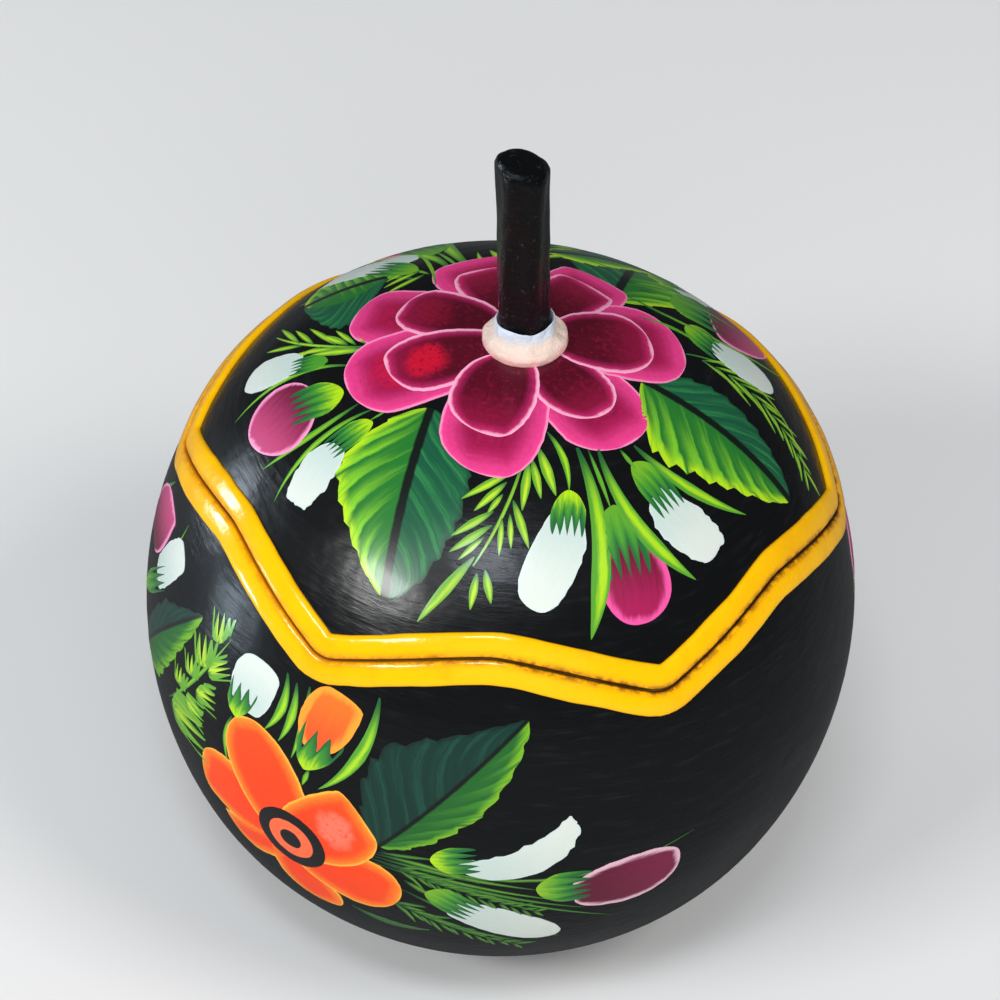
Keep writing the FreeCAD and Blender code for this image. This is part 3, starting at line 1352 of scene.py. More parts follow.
def reshape(piece: bpy.types.Object, points: Points) -> None:
    """Move a primitive's points, and turn its faces outwards.

    Args:
        piece: The primitive, active and selected.
        points: A row for each of its vertices.
    """
    piece.matrix_world = Matrix.Identity(4)
    piece.data.vertices.foreach_set("co", np.asarray(points, np.float32).ravel())
    piece.data.update()
    bpy.ops.object.mode_set(mode="EDIT")
    bpy.ops.mesh.select_all(action="SELECT")
    bpy.ops.mesh.normals_make_consistent(inside=False)
    bpy.ops.object.mode_set(mode="OBJECT")
    bpy.ops.object.shade_smooth()


def plain_ring(segments: int, points: int) -> bpy.types.Object:
    """Add the ring that a band or the collar starts from.

    Args:
        segments: How many sections it has round the axis.
        points: How many points a section has.

    Returns:
        A torus of radius 1 about the origin.
    """
    bpy.ops.object.select_all(action="DESELECT")
    bpy.ops.mesh.primitive_torus_add(major_segments=segments, minor_segments=points,
                                     major_radius=1.0, minor_radius=0.25)
    return bpy.context.object


def ring_noise(azimuth: Points, size: float, height: Points, shift: float = 0.0) -> Points:
    """Read a noise round a ring.

    Args:
        azimuth: The turn of each point.
        size: The radius at which the noise is read.
        height: The height at which it is read.
        shift: How far aside it is read.

    Returns:
        A number from -1 to 1 for each point.
    """
    rows = zip(np.cos(azimuth), np.sin(azimuth), height)
    return np.array([noise.noise(Vector((x * size + shift, y * size, z))) for x, y, z in rows])


def vertex_rows(piece: bpy.types.Object) -> Points:
    """Read a mesh's vertices.

    Args:
        piece: The mesh.

    Returns:
        A row for each vertex.
    """
    rows = np.empty(len(piece.data.vertices) * 3)
    piece.data.vertices.foreach_get("co", rows)
    return rows.reshape(-1, 3)


@dataclass
class RimBands:
    """The raised bands that follow the six-sided seam, one on each lip, as hand-laid beads of paint."""

    skin: GourdSkin
    sides: int = 6
    middle_angle: float = math.radians(51)
    corner_drop: float = math.radians(7.2)
    bow_power: float = 1.6
    corner_radius: float = 1.2 * MM
    width: float = 5.3 * MM
    clearance: float = 0.3 * MM
    height: float = 1.05 * MM
    sunk: float = 0.5 * MM
    roundness: float = 0.62
    edge_wander: float = 0.38 * MM
    height_wander: float = 0.14
    edge_waves: tuple = (85.0, 230.0)
    height_waves: float = 120.0
    flatness: float = 0.7
    side_stations: int = 84
    corner_stations: int = 12
    section_points: int = 22

    def stations(self) -> list[tuple[float, float, float]]:
        """List the stations of the seam.

        Returns:
            For each its angle from the crown, its azimuth and how far the seam turns downhill.
        """
        listed = []
        half = math.pi / self.sides
        for side in range(self.sides):
            middle = 2 * half * side
            for step in range(self.side_stations):
                share = 2 * (step + 0.5) / self.side_stations - 1
                listed.append((self.angle(share), middle + half * share, self.turn(share)))
            for step in range(self.corner_stations):
                share = 1 - 2 * (step + 0.5) / self.corner_stations
                listed.append((self.angle(1.0), middle + half, self.turn(1.0) * share))
        return listed

    def angle(self, share: float) -> float:
        """Give the seam's angle from the crown at a share of the way to a corner."""
        return self.middle_angle + self.corner_drop * abs(share) ** self.bow_power

    def turn(self, share: float) -> float:
        """Work out how far the seam turns downhill.

        Args:
            share: The share of the way to a corner.

        Returns:
            The turn.
        """
        slope = self.corner_drop * self.bow_power * abs(share) ** (self.bow_power - 1)
        run = math.sin(self.angle(share)) * math.pi / self.sides
        return math.atan2(math.copysign(slope, share), run)

    def beside(self, station: tuple, offset: float, growth: float) -> Points:
        """Find a point beside the seam.

        Args:
            station: A station of the seam.
            offset: How far below it the point is, square to the seam.
            growth: Its height above the skin.

        Returns:
            The point.
        """
        angle, azimuth, turn = station
        reach = float(self.skin.reach(np.array([angle]), 0.0)[0])
        new_angle = angle + offset * math.cos(turn) / reach
        new_azimuth = azimuth - offset * math.sin(turn) / (reach * math.sin(angle))
        return self.skin.spot(new_angle, new_azimuth, growth)

    def bead(self, name: str, node: str, body: Body, upper: float, lower: float, seam_below: bool,
             finish: bpy.types.Material) -> None:
        """Make one band.

        Args:
            name: The piece's name.
            node: The CAD node that it stands for.
            body: The body that it moves with.
            upper: The offset of its upper edge.
            lower: The offset of its lower edge.
            seam_below: Whether the seam runs along the lower edge.
            finish: Its material.
        """
        listed = self.stations()
        ring = plain_ring(len(listed), self.section_points)
        flat = vertex_rows(ring)
        out = np.hypot(flat[:, 0], flat[:, 1])
        round_angle = np.arctan2(flat[:, 1], flat[:, 0]) / (2 * math.pi) * len(listed)
        which = np.round(round_angle).astype(int) % len(listed)
        section = np.arctan2(flat[:, 2], out - 1.0)
        middle, half = (upper + lower) / 2, (lower - upper) / 2
        broad, fine = self.edge_waves
        sign = -1 if seam_below else 1
        points, seams = [], []
        for index, angle in zip(which, section):
            station = listed[index]
            cosine, sine = math.cos(angle), math.sin(angle)
            place = self.beside(station, middle, 0.0)
            across = math.copysign(abs(cosine) ** self.roundness, cosine)
            outer = (1 - across) / 2 if seam_below else (1 + across) / 2
            waver = noise.noise(Vector(place * broad)) + 0.5 * noise.noise(Vector(place * fine))
            swell = noise.noise(Vector(place * self.height_waves + 3.0))
            offset = middle + half * across + sign * self.edge_wander * waver * outer ** 2
            if sine >= 0:
                growth = self.height * sine ** self.flatness * (1 + self.height_wander * swell)
            else:
                growth = self.sunk * sine
            points.append(self.beside(station, offset, growth))
            seams.append((lower - offset if seam_below else offset - upper) / MM)
        reshape(ring, np.array(points))
        note(ring, "seam", np.array(seams))
        dress(ring, name, body, finish)
        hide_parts(node)

    def make(self) -> None:
        """Make both bands."""
        seam = self.corner_radius + self.width
        gap = self.clearance / 2
        self.bead("lid_band_bead", "lid_rim_band", Body.LID, self.corner_radius, seam - gap, True,
                  BandPaint().make("lid_band_paint"))
        self.bead("bowl_band_bead", "bowl_rim_band", Body.BOWL, seam + gap, seam + self.width, False,
                  BandPaint().make("bowl_band_paint"))


@dataclass
class Stem:
    """The dry stem, ridged and a little twisted, with the ring of paste about its foot.

    Climbs and turns are shares of the way up the shaft's outline and round the collar's. The
    foot's heights, the drops from the top and the collar's outline are in millimetres.
    """

    skin: GourdSkin
    diameter: float = 11.5 * MM
    length: float = 45.4 * MM
    lean: float = math.radians(4)
    ridges: int = 5
    twist: float = math.radians(28)
    ridge_depth: float = 0.75 * MM
    slant: float = math.radians(14)
    lump: float = 0.22 * MM
    segments: int = 84
    rings: int = 80
    climbs: tuple = (0.0, 0.03, 0.06, 0.075, 0.1, 0.82, 0.86, 0.9, 0.94, 1.0)
    foot_heights: tuple = (-4.0, -4.0, -0.5, -0.4, 0.4)
    top_drops: tuple = (4.0, 2.2, 1.1, 0.4, 0.1)
    girths: tuple = (0.0, 0.66, 0.66, 0.97, 1.0, 0.98, 0.98, 0.9, 0.7, 0.0)
    ridge_fades: tuple = ((0.02, 0.15, 0.93, 1.0), (0.0, 1.0, 0.9, 0.3))
    waists: tuple = ((0.0, 0.2, 0.4, 0.6, 0.8, 0.93, 1.0), (0.98, 0.97, 0.96, 0.96, 0.97, 1.0, 1.0))
    sways: tuple = ((0.06, 0.2, 0.4, 0.8, 1.0), (0.0, -0.04, -0.05, -0.04, -0.05))
    slant_rise: tuple = ((0.75, 0.93, 1.0), (0.0, 0.7, 1.0))
    collar_segments: int = 128
    collar_points: int = 40
    collar_turns: tuple = (0.0, 0.07, 0.14, 0.21, 0.29, 0.36, 0.43, 0.5, 0.62, 0.75, 0.88, 1.0)
    collar_out: tuple = (8.75, 8.62, 8.1, 7.5, 6.9, 6.3, 5.98, 5.82, 5.2, 5.2, 7.6, 8.75)
    collar_up: tuple = (0.1, 1.1, 1.75, 2.05, 2.6, 3.6, 5.0, 6.1, 4.0, -1.5, -1.6, 0.1)

    def lean_matrix(self) -> Matrix:
        """Give the move that stands a shape on the crown, leaning."""
        foot = Vector(self.skin.spot(0.0, 0.0))
        return Matrix.Translation(foot) @ Matrix.Rotation(-self.lean, 4, "Y")

    def make_shaft(self) -> None:
        """Make the shaft with its slanted, domed end and its tenon."""
        bpy.ops.object.select_all(action="DESELECT")
        bpy.ops.mesh.primitive_uv_sphere_add(segments=self.segments, ring_count=self.rings, radius=1.0)
        shaft = bpy.context.object
        flat = vertex_rows(shaft)
        climb = 1 - np.arccos(np.clip(flat[:, 2], -1, 1)) / math.pi
        azimuth = np.arctan2(flat[:, 1], flat[:, 0])
        neck, shoulder = self.climbs[4:6]
        drops = np.interp(climb, self.climbs[5:], self.top_drops) * MM
        heights = np.interp(climb, self.climbs[:5], self.foot_heights) * MM
        raised = (climb - neck) / (shoulder - neck) * (self.length - self.top_drops[0] * MM)
        above = np.where(climb < shoulder, raised, self.length - drops)
        heights = np.where(climb < neck, heights, above)
        girths = np.interp(climb, self.climbs, self.girths)
        up = np.clip(heights / self.length, 0, 1)
        tables = self.ridge_fades, self.waists, self.sways, self.slant_rise
        ridged, waist, sway, slanted = (np.interp(up, *table) for table in tables)
        ridge = np.cos(self.ridges * (azimuth - self.twist * up))
        full = girths > 0.8
        radius = self.diameter / 2 * girths * waist + self.ridge_depth * ridged * (ridge - 1) / 2 * full
        lumps = ring_noise(azimuth, 1.6, heights / MM * 0.16)
        radius = radius + self.lump * lumps * full
        across = radius * np.cos(azimuth)
        rows = np.stack((across + self.diameter * sway, radius * np.sin(azimuth),
                         heights - across * math.tan(self.slant) * slanted), axis=1)
        reshape(shaft, rows)
        shaft.data.transform(self.lean_matrix())
        dress(shaft, "stem_shaft", Body.LID, StemLacquer().make("stem_black"))
        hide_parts("stem")

    def make_collar(self) -> None:
        """Make the ring of paste, rounded at its rim and running up the foot of the shaft."""
        ring = plain_ring(self.collar_segments, self.collar_points)
        flat = vertex_rows(ring)
        azimuth = np.arctan2(flat[:, 1], flat[:, 0])
        section = np.arctan2(flat[:, 2], np.hypot(flat[:, 0], flat[:, 1]) - 1.0) / (2 * math.pi) % 1.0
        out = np.interp(section, self.collar_turns, self.collar_out)
        up = np.interp(section, self.collar_turns, self.collar_up)
        lumps = ring_noise(azimuth, 2.6, section * 6)
        tall = ring_noise(azimuth, 1.3, np.zeros(len(azimuth)), 9.0)
        shown = np.clip(up, 0, 1)
        out = out + 0.4 * lumps * shown
        up = up * (1 + 0.1 * lumps * shown) + 0.5 * tall * np.clip((up - 1.9), 0, 1)
        rows = np.stack((out * np.cos(azimuth), out * np.sin(azimuth), up), axis=1) * MM
        reshape(ring, rows)
        ring.data.transform(self.lean_matrix())
        note(ring, "run", np.clip(section * 2, 0, 1))
        dress(ring, "stem_collar_paste", Body.LID, CollarPaste().make("collar_paste_cream"))
        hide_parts("stem_collar")

    def make(self) -> None:
        """Make the shaft and its collar."""
        self.make_shaft()
        self.make_collar()


DAHLIA_INNER = PetalPaint(
    heart=(84, 10, 30), middle=(138, 18, 58), blush=(206, 44, 112), rim=(250, 178, 206),
    patch=(200, 14, 48), blush_width=3.0, rim_width=1.1,
)
DAHLIA_OUTER = PetalPaint(
    heart=(112, 14, 46), middle=(172, 26, 82), blush=(236, 66, 140), rim=(246, 150, 190),
    patch=(214, 18, 62), blush_width=6.5, rim_width=0.7,
)
POPPY = PetalPaint(
    heart=(250, 66, 18), middle=(252, 74, 22), blush=(255, 138, 34), rim=(255, 184, 66),
    patch=(250, 118, 92), blush_width=3.6, rim_width=0.7,
)
LID_LEAF = LeafPaint(
    light=(34, 116, 42), light_stroke=(132, 204, 40), light_edge=(180, 224, 24),
    dark=(20, 86, 58), dark_stroke=(50, 140, 72),
)
BOWL_LEAF = LeafPaint(
    light=(30, 98, 36), light_stroke=(62, 136, 40), light_edge=(116, 176, 24),
    dark=(14, 52, 42), dark_stroke=(26, 78, 62), gap=0.35,
)
WHITE = BudPaint(base=(196, 212, 204), body=(216, 223, 213), rim=(206, 220, 216), rim_width=0.5)
PINK = BudPaint(base=(112, 20, 56), body=(196, 66, 118), rim=(248, 150, 196), rim_width=1.5)
MAGENTA = BudPaint(base=(108, 12, 44), body=(166, 26, 82), rim=(236, 84, 156), rim_width=2.4)
MAROON = BudPaint(base=(100, 12, 48), body=(124, 20, 62), rim=(232, 184, 200), rim_width=1.9)
ORANGE = BudPaint(base=(255, 80, 22), body=(255, 110, 22), rim=(255, 158, 40), rim_width=2.4)
CALYX_GREEN = GreenPaint(
    deep=(28, 100, 52), green=(70, 150, 42), lime=(176, 220, 16), lime_at_base=True,
)
BLADE_GREEN = GreenPaint(deep=(30, 92, 46), green=(84, 156, 44), lime=(168, 216, 26))
FERN_GREEN = GreenPaint(deep=(50, 116, 48), green=(102, 166, 46), lime=(190, 222, 40))
DEEP_GREEN = GreenPaint(deep=(22, 60, 34), green=(48, 104, 40), lime=(104, 156, 40))
INK = PlainPaint(full=(18, 18, 20), thin=(34, 34, 38))
RING_ORANGE = PlainPaint(full=(255, 104, 56), thin=(250, 130, 92))


@dataclass
class LidFlowers:
    """The bouquet on the lid: a dahlia about the stem, with leaves, buds, blades and ferns round it.

    A petal's row is its tip, its two sides, its tint and its layer.
    """

    painter: Painter
    petal_start: float = 6.0 * MM
    bud_layer: float = 1.0
    cup_layer: float = 2.0
    blade_layer: float = 3.0
    hidden_layer: float = -0.9
    outer_petals: tuple = (
        ((446, 266), (508, 249), (439, 289), 0.5, 0),
        ((351, 323), (395, 291), (385, 346), 0.85, 1),
        ((345, 383), (380, 338), (402, 410), 0.88, 2),
        ((496, 478), (440, 425), (546, 430), 0.5, 3),
        ((632, 443), (560, 434), (643, 398), 0.4, 0),
        ((685, 356), (630, 308), (648, 383), 0.45, 1.5),
        ((623, 292), (580, 262), (602, 318), 0.5, 0.7),
    )
    inner_petals: tuple = (
        ((464, 274), (504, 261), (461, 295), 0.5, 4),
        ((398, 313), (440, 291), (424, 336), 0.84, 5),
        ((384, 361), (430, 333), (430, 391), 0.95, 6),
        ((495, 437), (449, 394), (537, 400), 0.5, 7),
        ((606, 414), (541, 401), (607, 378), 0.4, 4.5),
        ((653, 351), (612, 314), (614, 373), 0.45, 5.5),
        ((611, 300), (563, 273), (580, 322), 0.5, 4.8),
    )

    def piece(self, name: str, touches: list[Touch], finish: Finish, finish_name: str) -> None:
        """Join dabs into one piece of the lid's paint."""
        self.painter.piece(name, Body.LID, touches, finish.make(finish_name))

    def behind(self, touches: list[Touch]) -> list[Touch]:
        """Copy dabs to the far side, low enough to lie under the petals."""
        return [replace(touch.opposite(), layer=self.hidden_layer) for touch in touches]

    def petals(self, listed: tuple) -> list[Touch]:
        """Place petals that start under the collar.

        Args:
            listed: The petals' rows.

        Returns:
            The placed petals.
        """
        placed = []
        pole = self.painter.skin.spot(0.0, 0.0)
        for tip, left, right, tint, layer in listed:
            away = self.painter.look(tip) - pole
            away[2] = 0.0
            start = pole + away / np.linalg.norm(away) * self.petal_start
            dab = Dab(PETAL, tip, tip, left, right, tint=tint, layer=layer)
            placed.append(self.painter.place(dab, self.painter.skin.settle(start)[0]))
        return placed

    def make_dahlia(self) -> None:
        """Make the two rings of petals."""
        outer, inner = self.petals(self.outer_petals), self.petals(self.inner_petals)
        self.piece("dahlia_outer_petals", outer, DAHLIA_OUTER, "dahlia_outer_pink")
        self.piece("dahlia_inner_petals", inner, DAHLIA_INNER, "dahlia_inner_maroon")

    def make_leaves(self) -> None:
        """Make the leaves that show and the one behind."""
        leaves = self.painter.place_all([
            Dab(LEAF, (431, 408), (384, 600), (339, 470), (467, 490), tint=0.4),
            Dab(FULL_LEAF, (642, 380), (790, 501), (664, 459), (724, 397), tint=0.6),
            Dab(FULL_LEAF, (388, 277), (304, 308), (338, 278), (340, 330), via=(352, 299), tint=0.3),
            Dab(FULL_LEAF, (548, 252), (660, 274), (598, 266), (604, 252), tint=0.7),
        ])
        self.piece("lid_leaves", leaves + self.behind(leaves[:1]), LID_LEAF, "lid_leaf_green")

    def make_buds(self) -> None:
        """Make the white and pink buds and the calyxes that hold them."""
        blunt = outlined(BLUNT, self.bud_layer, (
            ((340, 447), (296, 505), (302, 462), (328, 486), 0.2),
            ((656, 492), (720, 548), (704, 513), (666, 540), 0.4),
        ))
        pointed = outlined(BUD, self.bud_layer, (
            ((302, 363), (245, 389), (266, 362), (272, 386), 0.1),
            ((569, 512), (537, 612), (520, 574), (584, 553), 0.3),
            ((712, 346), (773, 392), (750, 361), (738, 375), 0.6),
            ((668, 281), (714, 305), (694, 285), (686, 297), 0.7),
            ((418, 257), (356, 277), (380, 262), (386, 270), 0.8),
        ))
        pointed[2] = replace(pointed[2], layer=1.8)
        whites = self.painter.place_all(blunt + pointed)
        pinks = self.painter.place_all(outlined(OVAL, self.bud_layer, (
            ((312, 390), (252, 446), (268, 396), (297, 446), 0.3),
            ((706, 306), (766, 356), (742, 313), (724, 343), 0.6),
        )))
        magentas = self.painter.place_all(outlined(OVAL, self.bud_layer, (
            ((628, 538), (637, 625), (671, 584), (599, 578), 0.5),
        )))
        cups = self.painter.place_all(outlined(CALYX, self.cup_layer, (
            ((328, 361), (290, 371), (310, 356), (311, 371), 0.1),
            ((344, 392), (290, 412), (316, 384), (324, 415), 0.9),
            ((373, 422), (329, 452), (348, 424), (356, 444), 0.7),
            ((569, 490), (567, 536), (550, 516), (586, 513), 0.9),
            ((613, 505), (633, 577), (598, 545), (645, 538), 0.2),
            ((632, 463), (673, 512), (663, 472), (641, 493), 0.3),
            ((685, 326), (722, 356), (704, 330), (695, 344), 0.4),
            ((670, 302), (722, 330), (694, 300), (688, 318), 0.2),
            ((648, 276), (682, 287), (662, 274), (658, 284), 0.4),
        )))
        whites.append(whites[1].opposite())
        magentas.append(magentas[0].opposite())
        cups += [cup.opposite() for cup in cups[4:6]]
        self.piece("lid_white_buds", whites, WHITE, "lid_bud_white")
        self.piece("lid_pink_buds", pinks, PINK, "lid_bud_pink")
        self.piece("lid_magenta_buds", magentas, MAGENTA, "lid_bud_magenta")
        self.piece("lid_calyxes", cups, CALYX_GREEN, "lid_calyx_green")

    def make_blades(self) -> None:
        """Make the long blades and the stalks."""
        under_buds = [
            Dab(BLADE, (356, 366), (235, 423), via=(272, 388), width=1.3, tint=0.5, layer=-0.5),
            Dab(BLADE, (358, 404), (262, 470), via=(309, 437), width=1.5, tint=0.4, layer=-0.5),
            Dab(BLADE, (376, 408), (274, 502), via=(316, 444), width=1.3, tint=0.5, layer=-0.6),
            Dab(BLADE, (388, 410), (369, 421), width=0.5, tint=0.1, layer=-0.4),
        ]
        over_petals = stroked(BLADE, self.blade_layer, (
            ((547, 432), (569, 492), (564, 460), 1.5, 0.7),
            ((577, 448), (591, 640), (600, 540), 3.9, 0.8),
            ((598, 450), (696, 580), (640, 528), 3.4, 0.8),
            ((634, 446), (746, 515), (685, 486), 2.6, 0.7),
            ((588, 450), (611, 510), None, 0.9, 0.2),
            ((620, 450), (636, 470), None, 0.9, 0.2),
            ((630, 298), (780, 378), (712, 338), 0.9, 0.3),
            ((640, 290), (735, 330), (690, 305), 1.0, 0.3),
            ((640, 318), (700, 345), (672, 328), 0.9, 0.1),
            ((628, 283), (690, 300), (660, 288), 0.8, 0.4),
        ))
        over_petals[1] = replace(over_petals[1], belly=0.7)
        over_petals[2] = replace(over_petals[2], belly=0.66)
        blades = self.painter.place_all(under_buds + over_petals)
        self.piece("lid_blades", blades + self.behind(blades[4:10]), BLADE_GREEN, "lid_blade_green")

    def make_ferns(self) -> None:
        """Make the fern sprays of small leaflets."""
        wide, slim, thread = 1.7, 1.2, 0.7
        front = stroked(STALK, 0.0, (((523, 461), (473, 566), (504, 512), thread, 0.4),))
        front += stroked(LEAFLET, 1.0, (
            ((475, 556), (417, 622), None, 2.4, 0.5),
            ((477, 573), (470, 610), None, wide, 0.8),
            ((485, 570), (491, 604), None, wide, 0.6),
            ((514, 471), (461, 499), None, wide, 0.7),
            ((507, 482), (474, 511), None, wide, 0.8),
            ((503, 494), (487, 514), None, slim, 0.9),
            ((494, 511), (451, 536), None, wide, 0.5),
            ((492, 525), (449, 552), None, wide, 0.4),
            ((484, 537), (458, 560), None, slim, 0.6),
            ((502, 518), (499, 556), None, slim, 0.7),
            ((510, 514), (511, 549), None, slim, 0.8),
            ((513, 500), (529, 549), None, wide, 0.6),
            ((529, 461), (522, 511), None, 1.9, 0.9),
            ((532, 459), (541, 499), None, wide, 0.6),
            ((538, 447), (556, 496), None, 2.2, 1.0),
        ))
        left = stroked(STALK, 0.0, (((366, 347), (277, 338), (322, 346), thread, 0.7),))
        left += stroked(LEAFLET, 1.0, (
            ((366, 344), (352, 331), None, slim, 0.9),
            ((356, 345), (336, 331), None, slim, 0.9),
            ((348, 345), (322, 336), None, wide, 0.9),
            ((336, 345), (310, 329), None, slim, 0.6),
            ((314, 345), (296, 331), None, slim, 0.6),
            ((300, 344), (282, 330), None, slim, 0.5),
            ((366, 350), (310, 356), None, 1.9, 1.0),
            ((340, 348), (292, 356), None, slim, 0.8),
            ((322, 347), (288, 361), None, slim, 0.7),
            ((302, 346), (267, 353), None, slim, 0.6),
            ((424, 275), (386, 294), None, slim, 0.9),
            ((420, 271), (384, 288), None, slim, 0.8),
            ((416, 268), (386, 282), None, slim, 0.9),
            ((412, 266), (388, 277), None, slim, 0.7),
            ((436, 286), (416, 254), (430, 266), 0.9, 0.2),
        ))
        seen = self.painter.place_all(front)
        ferns = seen + self.painter.place_all(left) + self.behind(seen)
        right = Fern((686, 354), (761, 392), (806, 474), pairs=11, length=10.0, fan=0.42, width=0.8)
        self.piece("lid_ferns", ferns + self.painter.fern(right), FERN_GREEN, "lid_fern_green")

    def make(self) -> None:
        """Make the whole bouquet."""
        self.make_ferns()
        self.make_leaves()
        self.make_blades()
        self.make_buds()
        self.make_dahlia()


@dataclass
class BowlFlowers:
    """The bouquets on the bowl: an orange poppy with leaves and buds, and a smaller one to the left.

    The eye's radii are in millimetres. A petal's row is its tip, its two sides, its tint and its layer.
    """

    painter: Painter
    heart: Pixel = (291, 838)
    eye_radii: tuple = (8.4, 5.5, 2.6)
    eye_layers: tuple = (4, 5, 6)
    bud_layer: float = 1.0
    cup_layer: float = 2.0
    petals: tuple = (
        ((203, 752), (237, 768), (213, 790), 0.5, 0),
        ((243, 716), (300, 785), (231, 762), 0.5, 1),
        ((374, 836), (342, 789), (345, 866), 0.97, 2),
        ((401, 897), (372, 862), (352, 899), 0.5, 1),
        ((338, 905), (338, 893), (283, 868), 0.6, 0),
        ((226, 808), (250, 822), (262, 850), 0.7, 0),
    )

    def piece(self, name: str, touches: list[Touch], finish: Finish, finish_name: str) -> None:
        """Join dabs, and the same ones on the far side of the bowl, into one piece."""
        doubled = touches + [touch.opposite() for touch in touches]
        self.painter.piece(name, Body.BOWL, doubled, finish.make(finish_name))

    def disc(self, radius: float, layer: float) -> Touch:
        """Place a round dab at the heart of the poppy.

        Args:
            radius: Its radius in millimetres.
            layer: Its layer.

        Returns:
            The placed dab.
        """
        middle = self.painter.look(self.heart)
        along = np.cross(self.painter.skin.outward(middle), (0.0, 0.0, 1.0))
        along = along / np.linalg.norm(along) * radius * MM
        ends = middle - along, middle + along
        first, last = (tuple(self.painter.skin.settle(end)[0]) for end in ends)
        return Touch(OVAL, first, last, (0.5, radius * MM), (0.5, -radius * MM), tint=0.3, layer=layer)

    def make_flower(self) -> None:
        """Make the poppy: its petals, its black eye and the ring in it."""
        petals = [Dab(PETAL, self.heart, tip, left, right, tint=tint, layer=layer)
                  for tip, left, right, tint, layer in self.petals]
        outer, ring, inner = (self.disc(*size) for size in zip(self.eye_radii, self.eye_layers))
        self.piece("poppy_petals", self.painter.place_all(petals), POPPY, "poppy_orange")
        self.piece("poppy_eye_black", [outer, inner], INK, "poppy_black")
        self.piece("poppy_eye_ring", [ring], RING_ORANGE, "poppy_ring_orange")

    def make_leaves(self) -> None:
        """Make the dark leaves."""
        leaves = self.painter.place_all(outlined(DROP_LEAF, 0.0, (
            ((379, 846), (529, 719), (480, 815), (385, 748), 0.4),
            ((149, 640), (203, 615), (160, 674), (166, 600), 0.6),
        )))
        self.piece("bowl_leaves", leaves, BOWL_LEAF, "bowl_leaf_green")

    def make_buds(self) -> None:
        """Make the buds and their calyxes."""
        white = outlined(BUD, self.bud_layer, (
            ((246, 711), (257, 656), (231, 681), (279, 684), 0.1),
            ((449, 908), (558, 932), (506, 910), (506, 935), 0.3),
            ((158, 578), (184, 545), (161, 553), (190, 566), 0.4),
        ))
        bent = outlined(BLUNT, self.bud_layer, (((456, 866), (576, 821), (519, 850), (530, 876), 0.2),))
        white.append(replace(bent[0], via=(524, 861)))
        maroon = outlined(BUD, self.bud_layer, (((573, 892), (680, 852), (620, 860), (636, 896), 0.3),))
        orange = outlined(OVAL, self.bud_layer, (((312, 752), (333, 688), (300, 713), (363, 716), 0.5),))
        pink = outlined(OVAL, self.bud_layer, (((155, 548), (173, 497), (150, 523), (176, 523), 0.5),))
        cups = outlined(CLAW, self.cup_layer, (
            ((236, 717), (245, 684), (228, 694), (257, 700), 0.8),
            ((304, 769), (322, 731), (297, 738), (343, 752), 0.8),
            ((147, 582), (166, 578), (152, 568), (153, 593), 0.3),
        ))
        cups += outlined(CALYX, self.cup_layer, (
            ((430, 860), (478, 860), (452, 848), (452, 874), 0.9),
            ((536, 889), (592, 882), (562, 873), (566, 901), 0.4),
            ((425, 892), (474, 915), (450, 890), (444, 911), 0.3),
        ))
        kinds = (
            ("bowl_white_buds", white, WHITE, "bowl_bud_white"),
            ("bowl_maroon_buds", maroon, MAROON, "bowl_bud_maroon"),
            ("bowl_orange_buds", orange, ORANGE, "bowl_bud_orange"),
            ("bowl_pink_buds", pink, PINK, "bowl_bud_pink"),
            ("bowl_calyxes", cups, CALYX_GREEN, "bowl_calyx_green"),
        )
        for name, dabs, finish, finish_name in kinds:
            self.piece(name, self.painter.place_all(dabs), finish, finish_name)

    def make_blades(self) -> None:
        """Make the bright blades about the poppy and the dark ones to its right."""
        bright = stroked(BLADE, 0.0, (
            ((288, 673), (264, 729), (284, 702), 2.2, 0.7),
            ((297, 683), (278, 741), (293, 712), 2.0, 0.6),
            ((310, 687), (291, 758), (303, 724), 1.7, 0.7),
            ((380, 698), (318, 789), (362, 752), 2.8, 0.9),
            ((232, 716), (228, 762), (225, 738), 1.3, 0.4),
            ((309, 770), (302, 785), None, 1.2, 0.4),
            ((147, 575), (189, 525), (172, 555), 1.6, 0.3),
            ((176, 482), (152, 500), None, 1.6, 0.3),
            ((169, 696), (233, 638), (200, 674), 1.0, 0.4),
        ))
        bright[3] = replace(bright[3], layer=3)
        dark = stroked(BLADE, 0.0, (
            ((381, 850), (694, 829), (520, 880), 0.9, 0.9),
            ((378, 852), (440, 860), None, 0.9, 0.4),
            ((376, 854), (480, 884), (430, 868), 1.3, 0.9),
            ((374, 856), (537, 890), (460, 878), 1.2, 0.6),
            ((372, 858), (560, 900), (470, 886), 1.0, 0.7),
            ((370, 858), (585, 907), (480, 892), 1.0, 0.4),
            ((368, 860), (611, 914), (490, 898), 0.9, 0.5),
            ((400, 888), (560, 935), (470, 918), 1.4, 0.4),
            ((398, 900), (520, 940), (450, 924), 1.4, 0.3),
            ((404, 880), (436, 898), None, 1.5, 0.9),
            ((352, 905), (430, 930), (390, 922), 2.2, 0.1),
        ))
        self.piece("bowl_blades", self.painter.place_all(bright), BLADE_GREEN, "bowl_blade_green")
        self.piece("bowl_dark_blades", self.painter.place_all(dark), DEEP_GREEN, "bowl_blade_dark")

